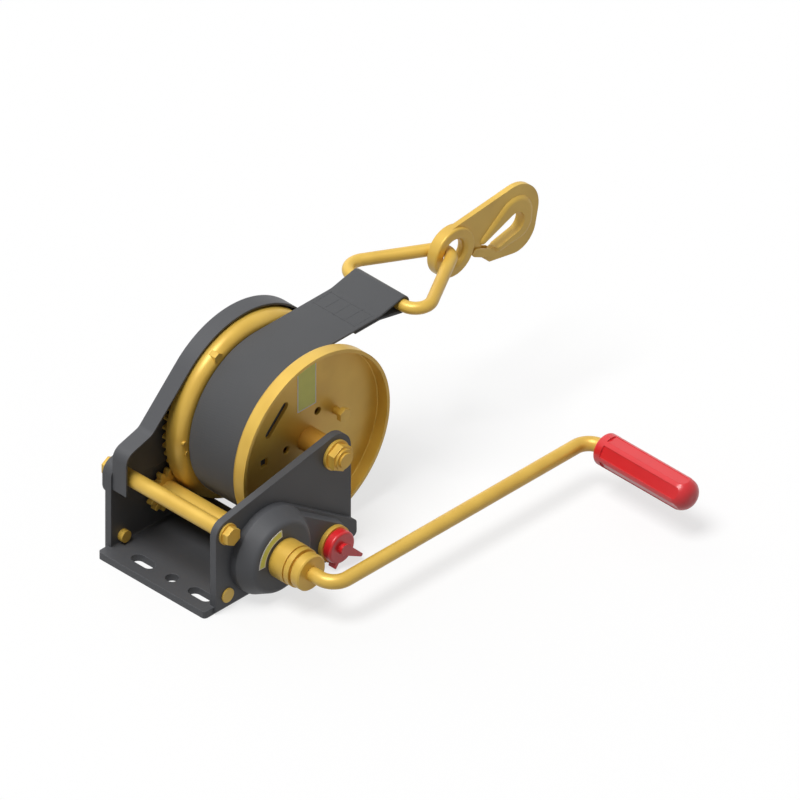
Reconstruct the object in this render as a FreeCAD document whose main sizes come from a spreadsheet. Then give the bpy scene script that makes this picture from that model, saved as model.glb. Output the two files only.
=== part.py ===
"""Hand winch with a webbing strap.

The frame is folded from one sheet. Its drum is geared to a crank with a brake housing, and the
strap ends in a triangular ring with a snap hook.

Millimetres. The origin is the middle bolt hole at the underside of the frame. X runs along the
drum's axle towards the crank, Y is the way the strap is pulled, Z is up.
"""
import FreeCAD
import Part
import Sketcher

import math
import os

from FreeCAD import Placement, Rotation, Vector

SIZES = (
    # the folded frame
    ("frame_width", 113.2, "outside width over the two legs"),
    ("frame_mid", -7.0, "middle of the frame, from the middle bolt hole"),
    ("plate", 6.0, "thickness of the folded sheet"),
    ("bend_out", 3.5, "outside radius of the two folds"),
    ("bend_in", 1.5, "inside radius of the two folds"),
    ("tongue_reach", 9.65, "how far the floor stands out in front of the legs"),
    ("tongue_inset", 2.0, "step from a leg to the side of the tongue"),
    ("tongue_corner", 3.0, "radius of the tongue's corners"),
    ("slot_spacing", 58.0, "distance between the two bolt slots"),
    ("slot_width", 10.0, "width of a bolt slot"),
    ("slot_length", 21.5, "length of a bolt slot, end to end"),
    ("middle_hole", 10.0, "diameter of the middle bolt hole"),
    # where the shafts are
    ("axle_y", 116.8, "drum axle, behind the bolt holes"),
    ("axle_z", 81.8, "drum axle, above the floor"),
    ("axle_lobe", 16.4, "radius of a leg round the axle"),
    ("tie_y", 6.6, "front tie bolt, behind the bolt holes"),
    ("tie_z", 66.7, "front tie bolt, above the floor"),
    ("tie_lobe", 11.35, "radius of a leg round the tie bolt"),
    ("drive_slope", 32.85, "angle from the drum axle down to the drive shaft"),
    ("low_bolt_y", 6.8, "lower bolts, behind the bolt holes"),
    ("low_bolt_z", 12.3, "lower bolts, above the floor"),
    # gears
    ("tooth_size", 2.5, "module of the gears"),
    ("gear_teeth", 56, "teeth of the drum gear"),
    ("pinion_teeth", 12, "teeth of the pinion"),
    ("gear_thick", 4.8, "thickness of the drum gear"),
    ("pinion_wide", 5.0, "width of the pinion"),
    ("gear_play", 1.0, "gap between the gear and the guard"),
    ("backlash", 0.35, "play between the teeth at the pitch circle"),
    # the guard over the gear
    ("guard_sheet", 1.5, "sheet of the guard"),
    ("guard_deep", 14.0, "depth of the guard's rim"),
    ("guard_round", 78.2, "outside radius of the guard round the axle"),
    ("guard_nose", 10.0, "radius of the guard's front corner"),
    ("guard_nose_lift", 17.2, "front corner of the guard, above the tie bolt"),
    ("guard_hollow", 9.3, "radius of the hollow between front and round part"),
    ("guard_hollow_y", 18.2, "centre of that hollow, behind the bolt holes"),
    ("guard_hollow_z", 107.2, "centre of that hollow, above the floor"),
    ("guard_front_low", 9.7, "how far the guard reaches below the tie bolt"),
    ("guard_back_low", 12.0, "lowest edge of the guard at the back"),
    # the doubling plate
    ("doubler", 3.0, "thickness of the doubling plate"),
    ("doubler_drop", 8.0, "how far its front lobe reaches below the tie bolt"),
    ("doubler_shaft_lobe", 15.0, "radius of the plate round the drive shaft"),
    # drum
    ("flange_round", 74.8, "radius of the drum's flanges"),
    ("flange_sheet", 2.7, "sheet of the flanges"),
    ("rim_gap", 1.6, "gap between the pinion and the left flange's rim"),
    ("right_room", 25.1, "from the right leg to the drum's right end"),
    ("right_rim", 12.55, "how far the right flange's rim turns out"),
    ("right_bend", 3.6, "outside radius of the right flange's bend"),
    ("left_rim", 15.6, "how far the left flange's rim turns out"),
    ("left_bend", 8.0, "outside radius of the left flange's bend"),
    ("floor_play", 5.0, "room between the flanges and the floor's edge"),
    ("barrel_round", 31.0, "outside radius of the drum's barrel"),
    ("barrel_wall", 2.5, "wall of the barrel"),
    ("hub_wall", 3.0, "wall of the drum's inner hub tube"),
    ("gear_boss", 22.0, "radius of the gear's boss"),
    ("slot_hole_wide", 6.5, "width of the long hole in the right flange"),
    ("slot_hole_run", 23.7, "long hole, from end centre to end centre"),
    ("slot_hole_out", 43.8, "long hole, from the axle"),
    ("square_hole", 7.0, "side of the square hole in the right flange"),
    ("square_hole_out", 44.0, "square hole, from the axle"),
    ("round_hole", 6.5, "diameter of the round holes in the right flange"),
    ("round_hole_out", 21.6, "round holes, from the axle"),
    # bolts
    ("axle_bolt_size", 12.0, "drum axle bolt"),
    ("axle_spacer_size", 19.0, "outside diameter of the spacer on the axle bolt"),
    ("tie_bolt_size", 8.0, "front tie bolt and lower bolts"),
    ("tie_spacer_size", 12.2, "outside diameter of the front spacer"),
    ("clamp_bolt_size", 6.0, "bolt that clamps the strap"),
    ("clamp_bolt_stand", 10.8, "how far the clamp bolt stands out of the web"),
    ("clamp_bolt_y", 28.5, "clamp bolt, from the axle along Y"),
    ("clamp_bolt_z", 11.0, "clamp bolt, from the axle along Z"),
    ("clamp_head_high", 4.0, "height of its head"),
    ("clamp_head_across", 10.0, "its head across the flats"),
    ("tie_head_across", 13.0, "head and nut of the front tie bolt across the flats"),
    ("tie_head_high", 5.3, "height of its head"),
    ("tie_nut_high", 5.6, "height of its nut"),
    ("tie_washer_round", 8.5, "radius of its washer"),
    ("tie_washer_thick", 1.6, "thickness of its washer"),
    ("low_head_round", 4.8, "radius of the left lower bolt's inner head"),
    ("low_head_high", 4.5, "height of that head"),
    ("low_rivet_round", 5.7, "radius of the right lower bolt's outer head"),
    ("low_rivet_high", 1.3, "how far both lower bolts stand out of the frame"),
    ("low_end_in", 3.1, "how far the right lower bolt's end stands in"),
    ("axle_head_across", 19.0, "head and nut of the axle bolt across the flats"),
    ("axle_head_high", 7.4, "height of its head"),
    ("axle_nut_high", 6.0, "height of its nut"),
    ("axle_collar_round", 8.2, "radius of the nut's collar"),
    ("axle_collar_long", 1.9, "length of the nut's collar"),
    ("axle_bolt_end", 1.7, "how far the axle bolt stands out of its nut"),
    ("axle_washer_round", 12.0, "radius of its washer"),
    ("axle_washer_thick", 2.4, "thickness of its washer"),
    ("bolt_play", 0.1, "radial play of a bolt in its hole"),
    ("run_play", 0.05, "radial play of a turning fit"),
    ("face_play", 0.3, "gap between faces that turn past each other"),
    # strap
    ("strap_side", 0.75, "gap between the webbing and each flange"),
    ("strap_thick", 2.0, "thickness of the webbing"),
    ("roll_round", 67.5, "outside radius of the strap on the drum"),
    ("layer_play", 0.1, "gap between two sewn layers"),
    ("sewn_start", 170.0, "where the sewn second layer starts"),
    ("split_y", 193.0, "where the two layers part"),
    ("turn_end", 74.0, "angle at which the outermost turn ends under the run"),
    # ring
    ("ring_rod", 9.6, "diameter of the ring's rod"),
    ("ring_y", 218.0, "the ring's bar, behind the bolt holes"),
    ("ring_half", 47.4, "half the length of the bar, to the sharp corner"),
    ("ring_long", 80.0, "from the bar to the sharp apex"),
    ("ring_corner", 12.5, "radius at the ends of the bar"),
    ("ring_apex", 10.4, "radius at the apex"),
    # hook
    ("eye_round", 20.0, "outside radius of the hook's eye"),
    ("eye_hole", 10.2, "radius of the hole in the eye"),
    ("eye_thick", 10.0, "thickness of the eye"),
    ("eye_edge_in", 3.8, "radius of the edges of its hole"),
    ("eye_edge_out", 1.5, "radius of its outer edges"),
    ("eye_ahead", 3.9, "the eye's centre in front of the ring's rod"),
    ("eye_below", 1.4, "the eye's centre below the ring's rod"),
    ("hook_plate", 4.5, "thickness of the hook's plate"),
    ("hook_long", 62.6, "from the eye to the centre of the round end"),
    ("hook_lift", 1.0, "the round end's centre above the eye"),
    ("hook_round", 25.1, "outside radius of the round end"),
    ("belly_y", 65.4, "centre of the hook's lower round, from the eye along Y"),
    ("belly_drop", 13.0, "centre of the lower round, below the eye"),
    ("belly_round", 19.4, "radius of the lower round"),
    ("bead_thick", 9.0, "thickness of the bead round the hook's opening"),
    ("bead_edge", 4.2, "radius of the bead's outer edges"),
    ("bead_start_y", 31.6, "the bead's start, from the eye along Y"),
    ("bead_start_drop", 6.3, "the bead's start, below the eye"),
    ("bead_notch_y", 40.3, "centre of the hollow before the bead's end, along Y"),
    ("bead_notch_drop", 16.8, "centre of that hollow, below the eye"),
    ("bead_notch_round", 1.5, "radius of that hollow"),
    ("bead_end_y", 47.0, "the bead's end over the nose, from the eye along Y"),
    ("bead_end_drop", 19.2, "the bead's end, below the eye"),
    ("bead_end_round", 4.4, "radius of both ends of the bead"),
    ("bead_upper_y", 62.5, "centre of the bead's upper round, along Y"),
    ("bead_upper_drop", 1.5, "centre of that round, below the eye"),
    ("bead_upper_round", 19.0, "radius of that round"),
    ("bead_lower_y", 66.0, "centre of the bead's lower round, along Y"),
    ("bead_lower_drop", 6.5, "centre of that round, below the eye"),
    ("bead_lower_round", 15.2, "radius of that round"),
    ("mouth_start", 31.5, "from the eye to the narrow end of the opening"),
    ("mouth_start_drop", 8.6, "the narrow end, below the eye"),
    ("mouth_narrow", 2.0, "radius of the narrow end"),
    ("mouth_y", 62.0, "centre of the opening's wide end, along Y"),
    ("mouth_drop", 4.6, "centre of the wide end, below the eye"),
    ("mouth_round", 9.0, "radius of the wide end"),
    ("mouth_low_y", 44.5, "the opening's lowest corner, over the nose"),
    ("mouth_low_drop", 15.0, "that corner, below the eye"),
    ("mouth_low_round", 2.4, "radius of that corner"),
    ("nose_y", 38.3, "lowest corner of the hook's nose, from the eye along Y"),
    ("nose_drop", 25.6, "that corner, below the eye"),
    ("nose_round", 1.8, "radius of that corner"),
    ("nose_left", 32.3, "tip of the nose, from the eye along Y"),
    ("nose_left_drop", 22.3, "tip of the nose, below the eye"),
    ("nose_top_y", 36.5, "top of the nose, from the eye along Y"),
    ("nose_top_drop", 18.2, "top of the nose, below the eye"),
    ("throat_drop", 7.2, "upper edge of the hook's throat, below the eye"),
    ("jaw_y", 27.6, "corner of the jaw over the gate, from the eye along Y"),
    ("jaw_round", 1.9, "radius of the jaw's corners"),
    ("gate_high", 6.6, "height of the gate"),
    ("gate_sheet", 1.3, "sheet of the gate"),
    ("gate_web_start", 7.5, "from the gate's pin to the web between its cheeks"),
    ("gate_web_long", 3.0, "length of that web"),
    ("gate_web_thick", 2.0, "thickness of that web"),
    ("gate_pin_size", 3.0, "diameter of the gate's pin"),
    ("gate_pin_y", 22.2, "the gate's pin, from the eye along Y"),
    ("gate_pin_drop", 11.2, "the gate's pin below the eye"),
    ("gate_tip_y", 37.5, "end of the gate, from the eye along Y"),
    ("gate_tip_drop", 19.2, "end of the gate, below the eye"),
    # brake housing and knob
    ("housing_lift", 0.3, "the housing's lowest edge above the ground"),
    ("housing_flange", 5.5, "thickness of the housing's base flange"),
    ("housing_deep", 19.0, "depth of the housing"),
    ("housing_face_round", 25.4, "radius of the flat front of the round part"),
    ("housing_edge", 5.0, "radius of the housing's front edge"),
    ("housing_blend", 3.0, "radius between the round part and its arm"),
    ("arm_inset", 2.6, "step from the flange to the arm where they leave the round part"),
    ("arm_draft", 12.0, "slope of the arm's sides, in degrees"),
    ("arm_deep", 11.8, "depth of the housing's arm at the knob"),
    ("arm_edge", 0.8, "radius of the arm's front edge"),
    ("arm_end_y", 133.6, "end of the housing's arm"),
    ("arm_end_z", 16.0, "upper corner circle of the arm's end"),
    ("arm_end_low", 9.0, "lower corner circle of the arm's end"),
    ("arm_corner", 4.0, "radius of the arm's end corners"),
    ("knob_y", 102.2, "the knob's axis, behind the bolt holes"),
    ("knob_z", 17.0, "the knob's axis, above the ground"),
    ("knob_lobe", 16.7, "radius of the raised arm round the knob, with the room below it"),
    ("knob_bush_round", 14.5, "radius of the bush behind the knob"),
    ("knob_bush_long", 3.6, "length of that bush"),
    ("knob_round", 13.0, "radius of the knob's cap"),
    ("knob_thick", 7.0, "thickness of the knob's cap"),
    ("knob_edge", 2.0, "radius of the cap's edge"),
    ("knob_stem", 8.0, "diameter of the knob's stem"),
    ("lever_reach", 21.5, "how far the knob's lever reaches from its axis"),
    ("lever_high", 3.2, "height of the lever's rib on the cap"),
    ("lever_root", 4.4, "half the width of the lever on the axis"),
    ("lever_tip", 1.4, "half the width of the lever at its end"),
    ("lever_angle", -37.0, "direction of the lever"),
    ("wing_reach", 16.6, "how far the knob's small wing reaches"),
    ("wing_root", 4.0, "half the width of the wing on the axis"),
    ("wing_tip", 0.8, "half the width of the wing at its end"),
    ("wing_angle", -116.0, "direction of the wing"),
    # crank
    ("shaft_size", 16.0, "diameter of the drive shaft"),
    ("crank_hub_long", 28.5, "length of the crank's hub"),
    ("crank_hub_round", 15.8, "radius of the hub's back part"),
    ("crank_ring_round", 15.4, "radius of the hub's ring"),
    ("crank_nose_round", 14.3, "radius of the hub's front part"),
    ("hub_groove_round", 12.5, "radius in the hub's deep groove"),
    ("hub_back_long", 13.6, "length of the hub's back part"),
    ("hub_step", 1.0, "width of its shallow groove, and of its front bevel"),
    ("hub_ring_long", 4.5, "length of the hub's ring"),
    ("hub_groove_wide", 1.8, "width of the hub's deep groove"),
    ("rod_size", 11.3, "diameter of the crank's rod"),
    ("rod_bend", 13.5, "bend radius of the rod's centre line"),
    ("rod_offset", 22.4, "from the hub's end to the arm's centre line"),
    ("arm_long", 260.6, "from the drive shaft to the grip's axis"),
    ("grip_start", 15.8, "from the arm's centre line to the grip"),
    ("grip_long", 90.6, "length of the grip"),
    ("grip_size", 25.4, "diameter of the grip"),
    ("grip_dome", 10.8, "radius of the grip's round end"),
    ("grip_edge", 2.4, "radius of the grip's edge at the rod"),
    ("grip_wall", 6.0, "wall of the grip beyond the rod's end"),
    ("panel_count", 6, "flat panels round the grip"),
    ("panel_wide", 9.0, "width of a panel"),
    ("panel_deep", 1.2, "depth of a panel"),
    ("panel_start", 7.5, "from the grip's edge to its panels"),
    ("grip_play", 0.1, "radial play of the grip on its rod"),
)

SHEET_NAME = "Sizes"
OUT_FOLDER = "parts"

# form of the gear teeth: pressure angle in degrees, tip and root in shares of the module
PRESSURE_ANGLE = 25.0
TIP_SHARE = 0.8
ROOT_SHARE = 1.05
FLANK_STEPS = 3

# how near an edge lies to a plane that it is looked for in
EDGE_NEAR = 1e-4


class Size:
    """A number together with the sheet formula that it comes from."""

    def __init__(self, value, formula):
        self.value = float(value)
        self.formula = formula

    def joined(self, other, sign, swapped=False):
        """Joins two sizes by one of the four rules of arithmetic."""
        first, second = self, as_size(other)
        if swapped:
            first, second = second, first
        rules = {
            "+": lambda a, b: a + b,
            "-": lambda a, b: a - b,
            "*": lambda a, b: a * b,
            "/": lambda a, b: a / b,
        }
        return Size(rules[sign](first.value, second.value),
                    "(%s %s %s)" % (first.formula, sign, second.formula))

    def __add__(self, other):
        return self.joined(other, "+")

    def __radd__(self, other):
        return self.joined(other, "+", True)

    def __sub__(self, other):
        return self.joined(other, "-")

    def __rsub__(self, other):
        return self.joined(other, "-", True)

    def __mul__(self, other):
        return self.joined(other, "*")

    def __rmul__(self, other):
        return self.joined(other, "*", True)

    def __truediv__(self, other):
        return self.joined(other, "/")

    def __rtruediv__(self, other):
        return self.joined(other, "/", True)

    def __neg__(self):
        return Size(-self.value, "(-%s)" % self.formula)


def as_size(value):
    """A plain number as a Size."""
    if isinstance(value, Size):
        return value
    return Size(value, repr(float(value)))


def root(size):
    """The square root of a Size."""
    return Size(math.sqrt(size.value), "sqrt(%s)" % size.formula)


def larger(first, second):
    """The larger of two sizes."""
    first, second = as_size(first), as_size(second)
    return Size(max(first.value, second.value), "max(%s; %s)" % (first.formula, second.formula))


def cosine(degrees):
    """The cosine of a Size in degrees."""
    degrees = as_size(degrees)
    return Size(math.cos(math.radians(degrees.value)), "cos(%s * 1 deg)" % degrees.formula)


def sine(degrees):
    """The sine of a Size in degrees."""
    degrees = as_size(degrees)
    return Size(math.sin(math.radians(degrees.value)), "sin(%s * 1 deg)" % degrees.formula)


class SizeSheet:
    """The sheet with the driving sizes. Each size is read as an attribute of its own name."""

    def __init__(self, document):
        self.sheet = document.addObject("Spreadsheet::Sheet", SHEET_NAME)
        for row, (name, value, meaning) in enumerate(SIZES, start=1):
            self.sheet.set("A%d" % row, name)
            self.sheet.set("B%d" % row, str(value))
            self.sheet.set("C%d" % row, meaning)
            self.sheet.setAlias("B%d" % row, name)
            setattr(self, name, Size(value, "%s.%s" % (SHEET_NAME, name)))


document = FreeCAD.newDocument("hand_winch")
s = SizeSheet(document)
document.recompute()

# planes and axes that several pieces share
left_out = s.frame_mid - s.frame_width / 2
right_out = s.frame_mid + s.frame_width / 2
left_in = left_out + s.plate
right_in = right_out - s.plate
leg_front = s.tie_y - s.tie_lobe
leg_back = s.axle_y + s.axle_lobe
tongue_front = leg_front - s.tongue_reach
flange_free = s.flange_round + s.floor_play
floor_back = s.axle_y - root(larger(flange_free * flange_free
                                    - (s.axle_z - s.plate) * (s.axle_z - s.plate),
                                    s.axle_lobe * s.axle_lobe))
doubler_out = left_out - s.doubler
guard_in = left_in + s.guard_sheet
gear_left = guard_in + s.gear_play
gear_right = gear_left + s.gear_thick
centre_distance = s.tooth_size * (s.gear_teeth + s.pinion_teeth) / 2
drive_y = s.axle_y - centre_distance * cosine(s.drive_slope)
drive_z = s.axle_z - centre_distance * sine(s.drive_slope)
pinion_right = (gear_left + gear_right + s.pinion_wide) / 2
drum_left = pinion_right + s.rim_gap + s.left_rim
drum_right = right_in - s.right_room
strap_left = drum_left + s.strap_side
strap_wide = drum_right - s.strap_side - strap_left
strap_mid = strap_left + strap_wide / 2
left_web_out = drum_left - s.flange_sheet
right_web_out = drum_right + s.flange_sheet
spacer_round = s.axle_spacer_size / 2
hub_bore = spacer_round + s.run_play
housing_face = right_out + s.housing_deep
hub_start = housing_face + s.face_play
hub_end = hub_start + s.crank_hub_long
arm_x = hub_end + s.rod_offset
run_mid_z = s.axle_z + s.roll_round - s.strap_thick / 2
second_mid_z = run_mid_z - s.strap_thick - s.layer_play
ring_z = (run_mid_z + second_mid_z) / 2
loop_mid_round = s.ring_rod / 2 + s.face_play + s.strap_thick / 2
ring_side = root(s.ring_half * s.ring_half + s.ring_long * s.ring_long)
apex_back = s.ring_apex * (ring_side / s.ring_half - 1)
apex_y = s.ring_y + s.ring_long - apex_back
eye_y = apex_y + s.eye_ahead
eye_z = ring_z - s.eye_below


def bind(item, path, size):
    """Binds a property to the sheet's formula for a size."""
    item.setExpression(path, as_size(size).formula)


class Drawing:
    """A sketch in a plane of its body. Its own origin lies at a point given in sizes."""

    PLANES = {"XY": ("XY_Plane", (0, 1, 2), (1, 1, 1)),
              "XZ": ("XZ_Plane", (0, 2, 1), (1, 1, -1)),
              "YZ": ("YZ_Plane", (1, 2, 0), (1, 1, 1))}

    def __init__(self, body, plane, x=0, y=0, z=0):
        self.body = body
        self.sketch = body.newObject("Sketcher::SketchObject", body.Label + "_sketch")
        role, order, signs = self.PLANES[plane]
        support = [item for item in body.Origin.OriginFeatures if item.Role == role][0]
        self.sketch.AttachmentSupport = [(support, "")]
        self.sketch.MapMode = "FlatFace"
        for axis, index, sign in zip("xyz", order, signs):
            size = as_size((x, y, z)[index]) * sign
            if size.value:
                bind(self.sketch, ".AttachmentOffset.Base." + axis, size)
        self.body.Document.recompute()

    def pin(self, geometry, position, x, y):
        """Holds a point of the drawing at x, y."""
        for kind, size in (("DistanceX", as_size(x)), ("DistanceY", as_size(y))):
            index = self.sketch.addConstraint(
                Sketcher.Constraint(kind, -1, 1, geometry, position, size.value))
            bind(self.sketch, "Constraints[%d]" % index, size)

    def set_radius(self, geometry, size):
        """Gives a circle or an arc its radius."""
        size = as_size(size)
        index = self.sketch.addConstraint(Sketcher.Constraint("Radius", geometry, size.value))
        bind(self.sketch, "Constraints[%d]" % index, size)

    def circle(self, x, y, radius):
        """A full circle."""
        x, y, radius = as_size(x), as_size(y), as_size(radius)
        shape = Part.Circle(Vector(x.value, y.value, 0), Vector(0, 0, 1), radius.value)
        geometry = self.sketch.addGeometry(shape, False)
        self.pin(geometry, 3, x, y)
        self.set_radius(geometry, radius)
        return self

    def belt(self, wheels, closed=True):
        """The line that runs tangent past a row of wheels (x, y, radius).

        It turns left round a wheel of positive radius, right round one of negative radius, and
        makes a sharp corner at one of radius 0.
        """
        wheels = [tuple(as_size(value) for value in wheel) for wheel in wheels]
        count = len(wheels)
        spans = count if closed else count - 1
        headings = []
        for index in range(spans):
            x0, y0, r0 = (size.value for size in wheels[index])
            x1, y1, r1 = (size.value for size in wheels[(index + 1) % count])
            span = math.hypot(x1 - x0, y1 - y0)
            headings.append(math.atan2(y1 - y0, x1 - x0) + math.asin((r0 - r1) / span))

        def touch(index, heading):
            x, y, radius = (size.value for size in wheels[index])
            return Vector(x + radius * math.sin(heading), y - radius * math.cos(heading), 0)

        lines = []
        for index in range(spans):
            start = touch(index, headings[index])
            end = touch((index + 1) % count, headings[index])
            lines.append(self.sketch.addGeometry(Part.LineSegment(start, end), False))
        for index in range(count):
            x, y, radius = wheels[index]
            inner = closed or 0 < index < count - 1
            if not inner:
                first = index == 0
                self.pin(lines[0] if first else lines[-1], 1 if first else 2, x, y)
                continue
            before, after = lines[index - 1], lines[index % spans]
            if radius.value == 0:
                self.sketch.addConstraint(Sketcher.Constraint("Coincident", before, 2, after, 1))
                self.pin(after, 1, x, y)
                continue
            left_turn = radius.value > 0
            quarter = -math.pi / 2 if left_turn else math.pi / 2
            come = headings[index - 1] + quarter
            leave = headings[index % spans] + quarter
            start, end = (come, leave) if left_turn else (leave, come)
            while end <= start:
                end += 2 * math.pi
            round_line = Part.Circle(Vector(x.value, y.value, 0), Vector(0, 0, 1),
                                     abs(radius.value))
            arc = self.sketch.addGeometry(Part.ArcOfCircle(round_line, start, end), False)
            first_end, last_end = (1, 2) if left_turn else (2, 1)
            self.sketch.addConstraint(
                Sketcher.Constraint("Tangent", before, 2, arc, first_end))
            self.sketch.addConstraint(
                Sketcher.Constraint("Tangent", arc, last_end, after, 1))
            self.pin(arc, 3, x, y)
            self.set_radius(arc, radius if left_turn else -radius)
        return self

    def corners(self, points):
        """A closed outline with straight sides."""
        return self.belt([(x, y, 0) for x, y in points])

    def hexagon(self, x, y, across):
        """A hexagon, measured across its flats, with two corners on the drawing's Y direction."""
        reach = as_size(across) / root(as_size(3))
        return self.corners([(x + reach * cosine(30 + 60 * side), y + reach * sine(30 + 60 * side))
                             for side in range(6)])


def new_body(label):
    """An empty body that becomes the node of that name."""
    body = document.addObject("PartDesign::Body", label)
    body.Label = label
    return body


def finish(feature, body):
    """Makes a feature the tip of its body and works it out."""
    body.Tip = feature
    document.recompute()
    return feature


def pad(drawing, length, draft=None):
    """Thickens an outline along its plane's normal. A draft in degrees makes it narrower."""
    feature = drawing.body.newObject("PartDesign::Pad", "Pad")
    feature.Profile = drawing.sketch
    bind(feature, "Length", length)
    if draft is not None:
        bind(feature, "TaperAngle", -draft)
    return finish(feature, drawing.body)


def revolve(drawing):
    """Turns an outline round its own horizontal axis."""
    feature = drawing.body.newObject("PartDesign::Revolution", "Revolution")
    feature.Profile = drawing.sketch
    feature.ReferenceAxis = (drawing.sketch, ["H_Axis"])
    feature.Angle = 360
    return finish(feature, drawing.body)


def check_cut(body, before):
    """Stops if a cut has taken nothing away."""
    if body.Shape.Volume >= before - 1e-6:
        raise RuntimeError("a cut in %s takes nothing away" % body.Label)


def cut_through(drawing):
    """Cuts an outline through everything on the negative side of its plane."""
    body = drawing.body
    before = body.Shape.Volume
    feature = body.newObject("PartDesign::Pocket", "Pocket")
    feature.Profile = drawing.sketch
    feature.Type = "ThroughAll"
    finish(feature, body)
    check_cut(body, before)
    return feature


def cut_deep(drawing, depth):
    """Cuts an outline to a depth on the negative side of its plane."""
    body = drawing.body
    before = body.Shape.Volume
    feature = body.newObject("PartDesign::Pocket", "Pocket")
    feature.Profile = drawing.sketch
    bind(feature, "Length", depth)
    finish(feature, body)
    check_cut(body, before)
    return feature


def round_off(body, radius, wanted):
    """Rounds the edges of a body that a test picks out."""
    base = body.Tip
    edges = ["Edge%d" % (index + 1) for index, edge in enumerate(base.Shape.Edges)
             if wanted(edge)]
    if not edges:
        raise RuntimeError("%s has no edge to round there" % body.Label)
    feature = body.newObject("PartDesign::Fillet", "Fillet")
    feature.Base = (base, edges)
    bind(feature, "Radius", radius)
    return finish(feature, body)


def lies_across(edge, x):
    """Whether an edge lies in the plane across X at x."""
    box = edge.BoundBox
    return max(abs(box.XMin - x.value), abs(box.XMax - x.value)) < EDGE_NEAR


def repeat_round(body, feature, axis_drawing, count):
    """Repeats a feature evenly round a drawing's horizontal axis."""
    pattern = body.newObject("PartDesign::PolarPattern", "PolarPattern")
    pattern.Originals = [feature]
    pattern.Axis = (axis_drawing, ["H_Axis"])
    pattern.Angle = 360
    bind(pattern, "Occurrences", count)
    return finish(pattern, body)


def pipe(section, spine):
    """Carries a section along a route."""
    feature = section.body.newObject("PartDesign::AdditivePipe", "Pipe")
    feature.Profile = section.sketch
    feature.Spine = spine.sketch
    return finish(feature, section.body)


def rod(label, x0, x1, y, z, radius, bore=None):
    """A round rod or tube along X."""
    body = new_body(label)
    drawing = Drawing(body, "YZ", x0, y, z).circle(0, 0, radius)
    if bore is not None:
        drawing.circle(0, 0, bore)
    pad(drawing, as_size(x1) - x0)
    return body


def turned(label, y, z, outline):
    """A piece turned round an axis along X, from an outline of (x, radius, bend)."""
    body = new_body(label)
    revolve(Drawing(body, "XZ", 0, y, z).belt(outline))
    return body


def channel_frame():
    """The floor and both legs, folded from one sheet."""
    body = new_body("channel_frame")
    top = s.axle_z + s.axle_lobe + s.plate
    fold = Drawing(body, "XZ", 0, leg_back).belt([
        (left_out + s.bend_out, s.bend_out, s.bend_out),
        (right_out - s.bend_out, s.bend_out, s.bend_out),
        (right_out, top, 0),
        (right_in, top, 0),
        (right_in - s.bend_in, s.plate + s.bend_in, -s.bend_in),
        (left_in + s.bend_in, s.plate + s.bend_in, -s.bend_in),
        (left_in, top, 0),
        (left_out, top, 0)])
    pad(fold, leg_back - leg_front)
    beyond = top + s.plate
    legs = Drawing(body, "YZ", right_out + s.plate)
    legs.corners([(leg_front - s.plate, -s.plate), (leg_back + s.plate, -s.plate),
                  (leg_back + s.plate, beyond), (leg_front - s.plate, beyond)])
    legs.belt([(leg_front, -s.plate / 2, 0),
               (leg_back, -s.plate / 2, 0),
               (s.axle_y, s.axle_z, s.axle_lobe),
               (s.tie_y, s.tie_z, s.tie_lobe)])
    cut_through(legs)
    cut_through(Drawing(body, "XY", 0, 0, top).corners([
        (left_in, floor_back), (right_in, floor_back),
        (right_in, leg_back + s.plate), (left_in, leg_back + s.plate)]))
    side_left = left_out + s.tongue_inset
    side_right = right_out - s.tongue_inset
    tongue = Drawing(body, "XY").belt([
        (side_left + s.tongue_corner, tongue_front + s.tongue_corner, s.tongue_corner),
        (side_right - s.tongue_corner, tongue_front + s.tongue_corner, s.tongue_corner),
        (side_right, leg_front, 0),
        (right_in, leg_front, 0),
        (right_in, leg_front + s.plate, 0),
        (left_in, leg_front + s.plate, 0),
        (left_in, leg_front, 0),
        (side_left, leg_front, 0)])
    pad(tongue, s.plate)
    half_run = (s.slot_length - s.slot_width) / 2
    holes = Drawing(body, "XY", 0, 0, s.plate)
    holes.circle(0, 0, s.middle_hole / 2)
    for side in (-1, 1):
        middle = s.slot_spacing / 2 * side
        holes.belt([(middle - half_run, 0, s.slot_width / 2),
                    (middle + half_run, 0, s.slot_width / 2)])
    cut_through(holes)
    sides = Drawing(body, "YZ", right_out + s.plate)
    sides.circle(s.axle_y, s.axle_z, s.axle_bolt_size / 2 + s.bolt_play)
    sides.circle(s.tie_y, s.tie_z, s.tie_bolt_size / 2 + s.bolt_play)
    sides.circle(s.low_bolt_y, s.low_bolt_z, s.tie_bolt_size / 2 + s.bolt_play)
    sides.circle(drive_y, drive_z, s.shaft_size / 2 + s.run_play)
    cut_through(sides)


def left_plate():
    """The doubling plate that carries the left ends of the bolts and the shaft."""
    body = new_body("left_plate")
    pad(Drawing(body, "YZ", doubler_out).belt([
        (s.tie_y, s.tie_z - s.doubler_drop, s.tie_lobe),
        (drive_y, drive_z, s.doubler_shaft_lobe),
        (s.axle_y, s.axle_z, s.axle_lobe),
        (s.tie_y, s.tie_z, s.tie_lobe)]), s.doubler)
    holes = Drawing(body, "YZ", left_out + s.doubler)
    holes.circle(s.axle_y, s.axle_z, s.axle_bolt_size / 2 + s.bolt_play)
    holes.circle(s.tie_y, s.tie_z, s.tie_bolt_size / 2 + s.bolt_play)
    holes.circle(drive_y, drive_z, s.shaft_size / 2 + s.run_play)
    cut_through(holes)


def guard_outline(drawing, inset):
    """The guard's outline, drawn a distance inside its outer face."""
    front = s.tie_y - s.guard_nose + inset
    return drawing.belt([
        (front, s.axle_z - s.guard_round + inset, 0),
        (s.axle_y, s.axle_z, s.guard_round - inset),
        (s.guard_hollow_y, s.guard_hollow_z, -(s.guard_hollow + inset)),
        (s.tie_y, s.tie_z + s.guard_nose_lift, s.guard_nose - inset)])


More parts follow.
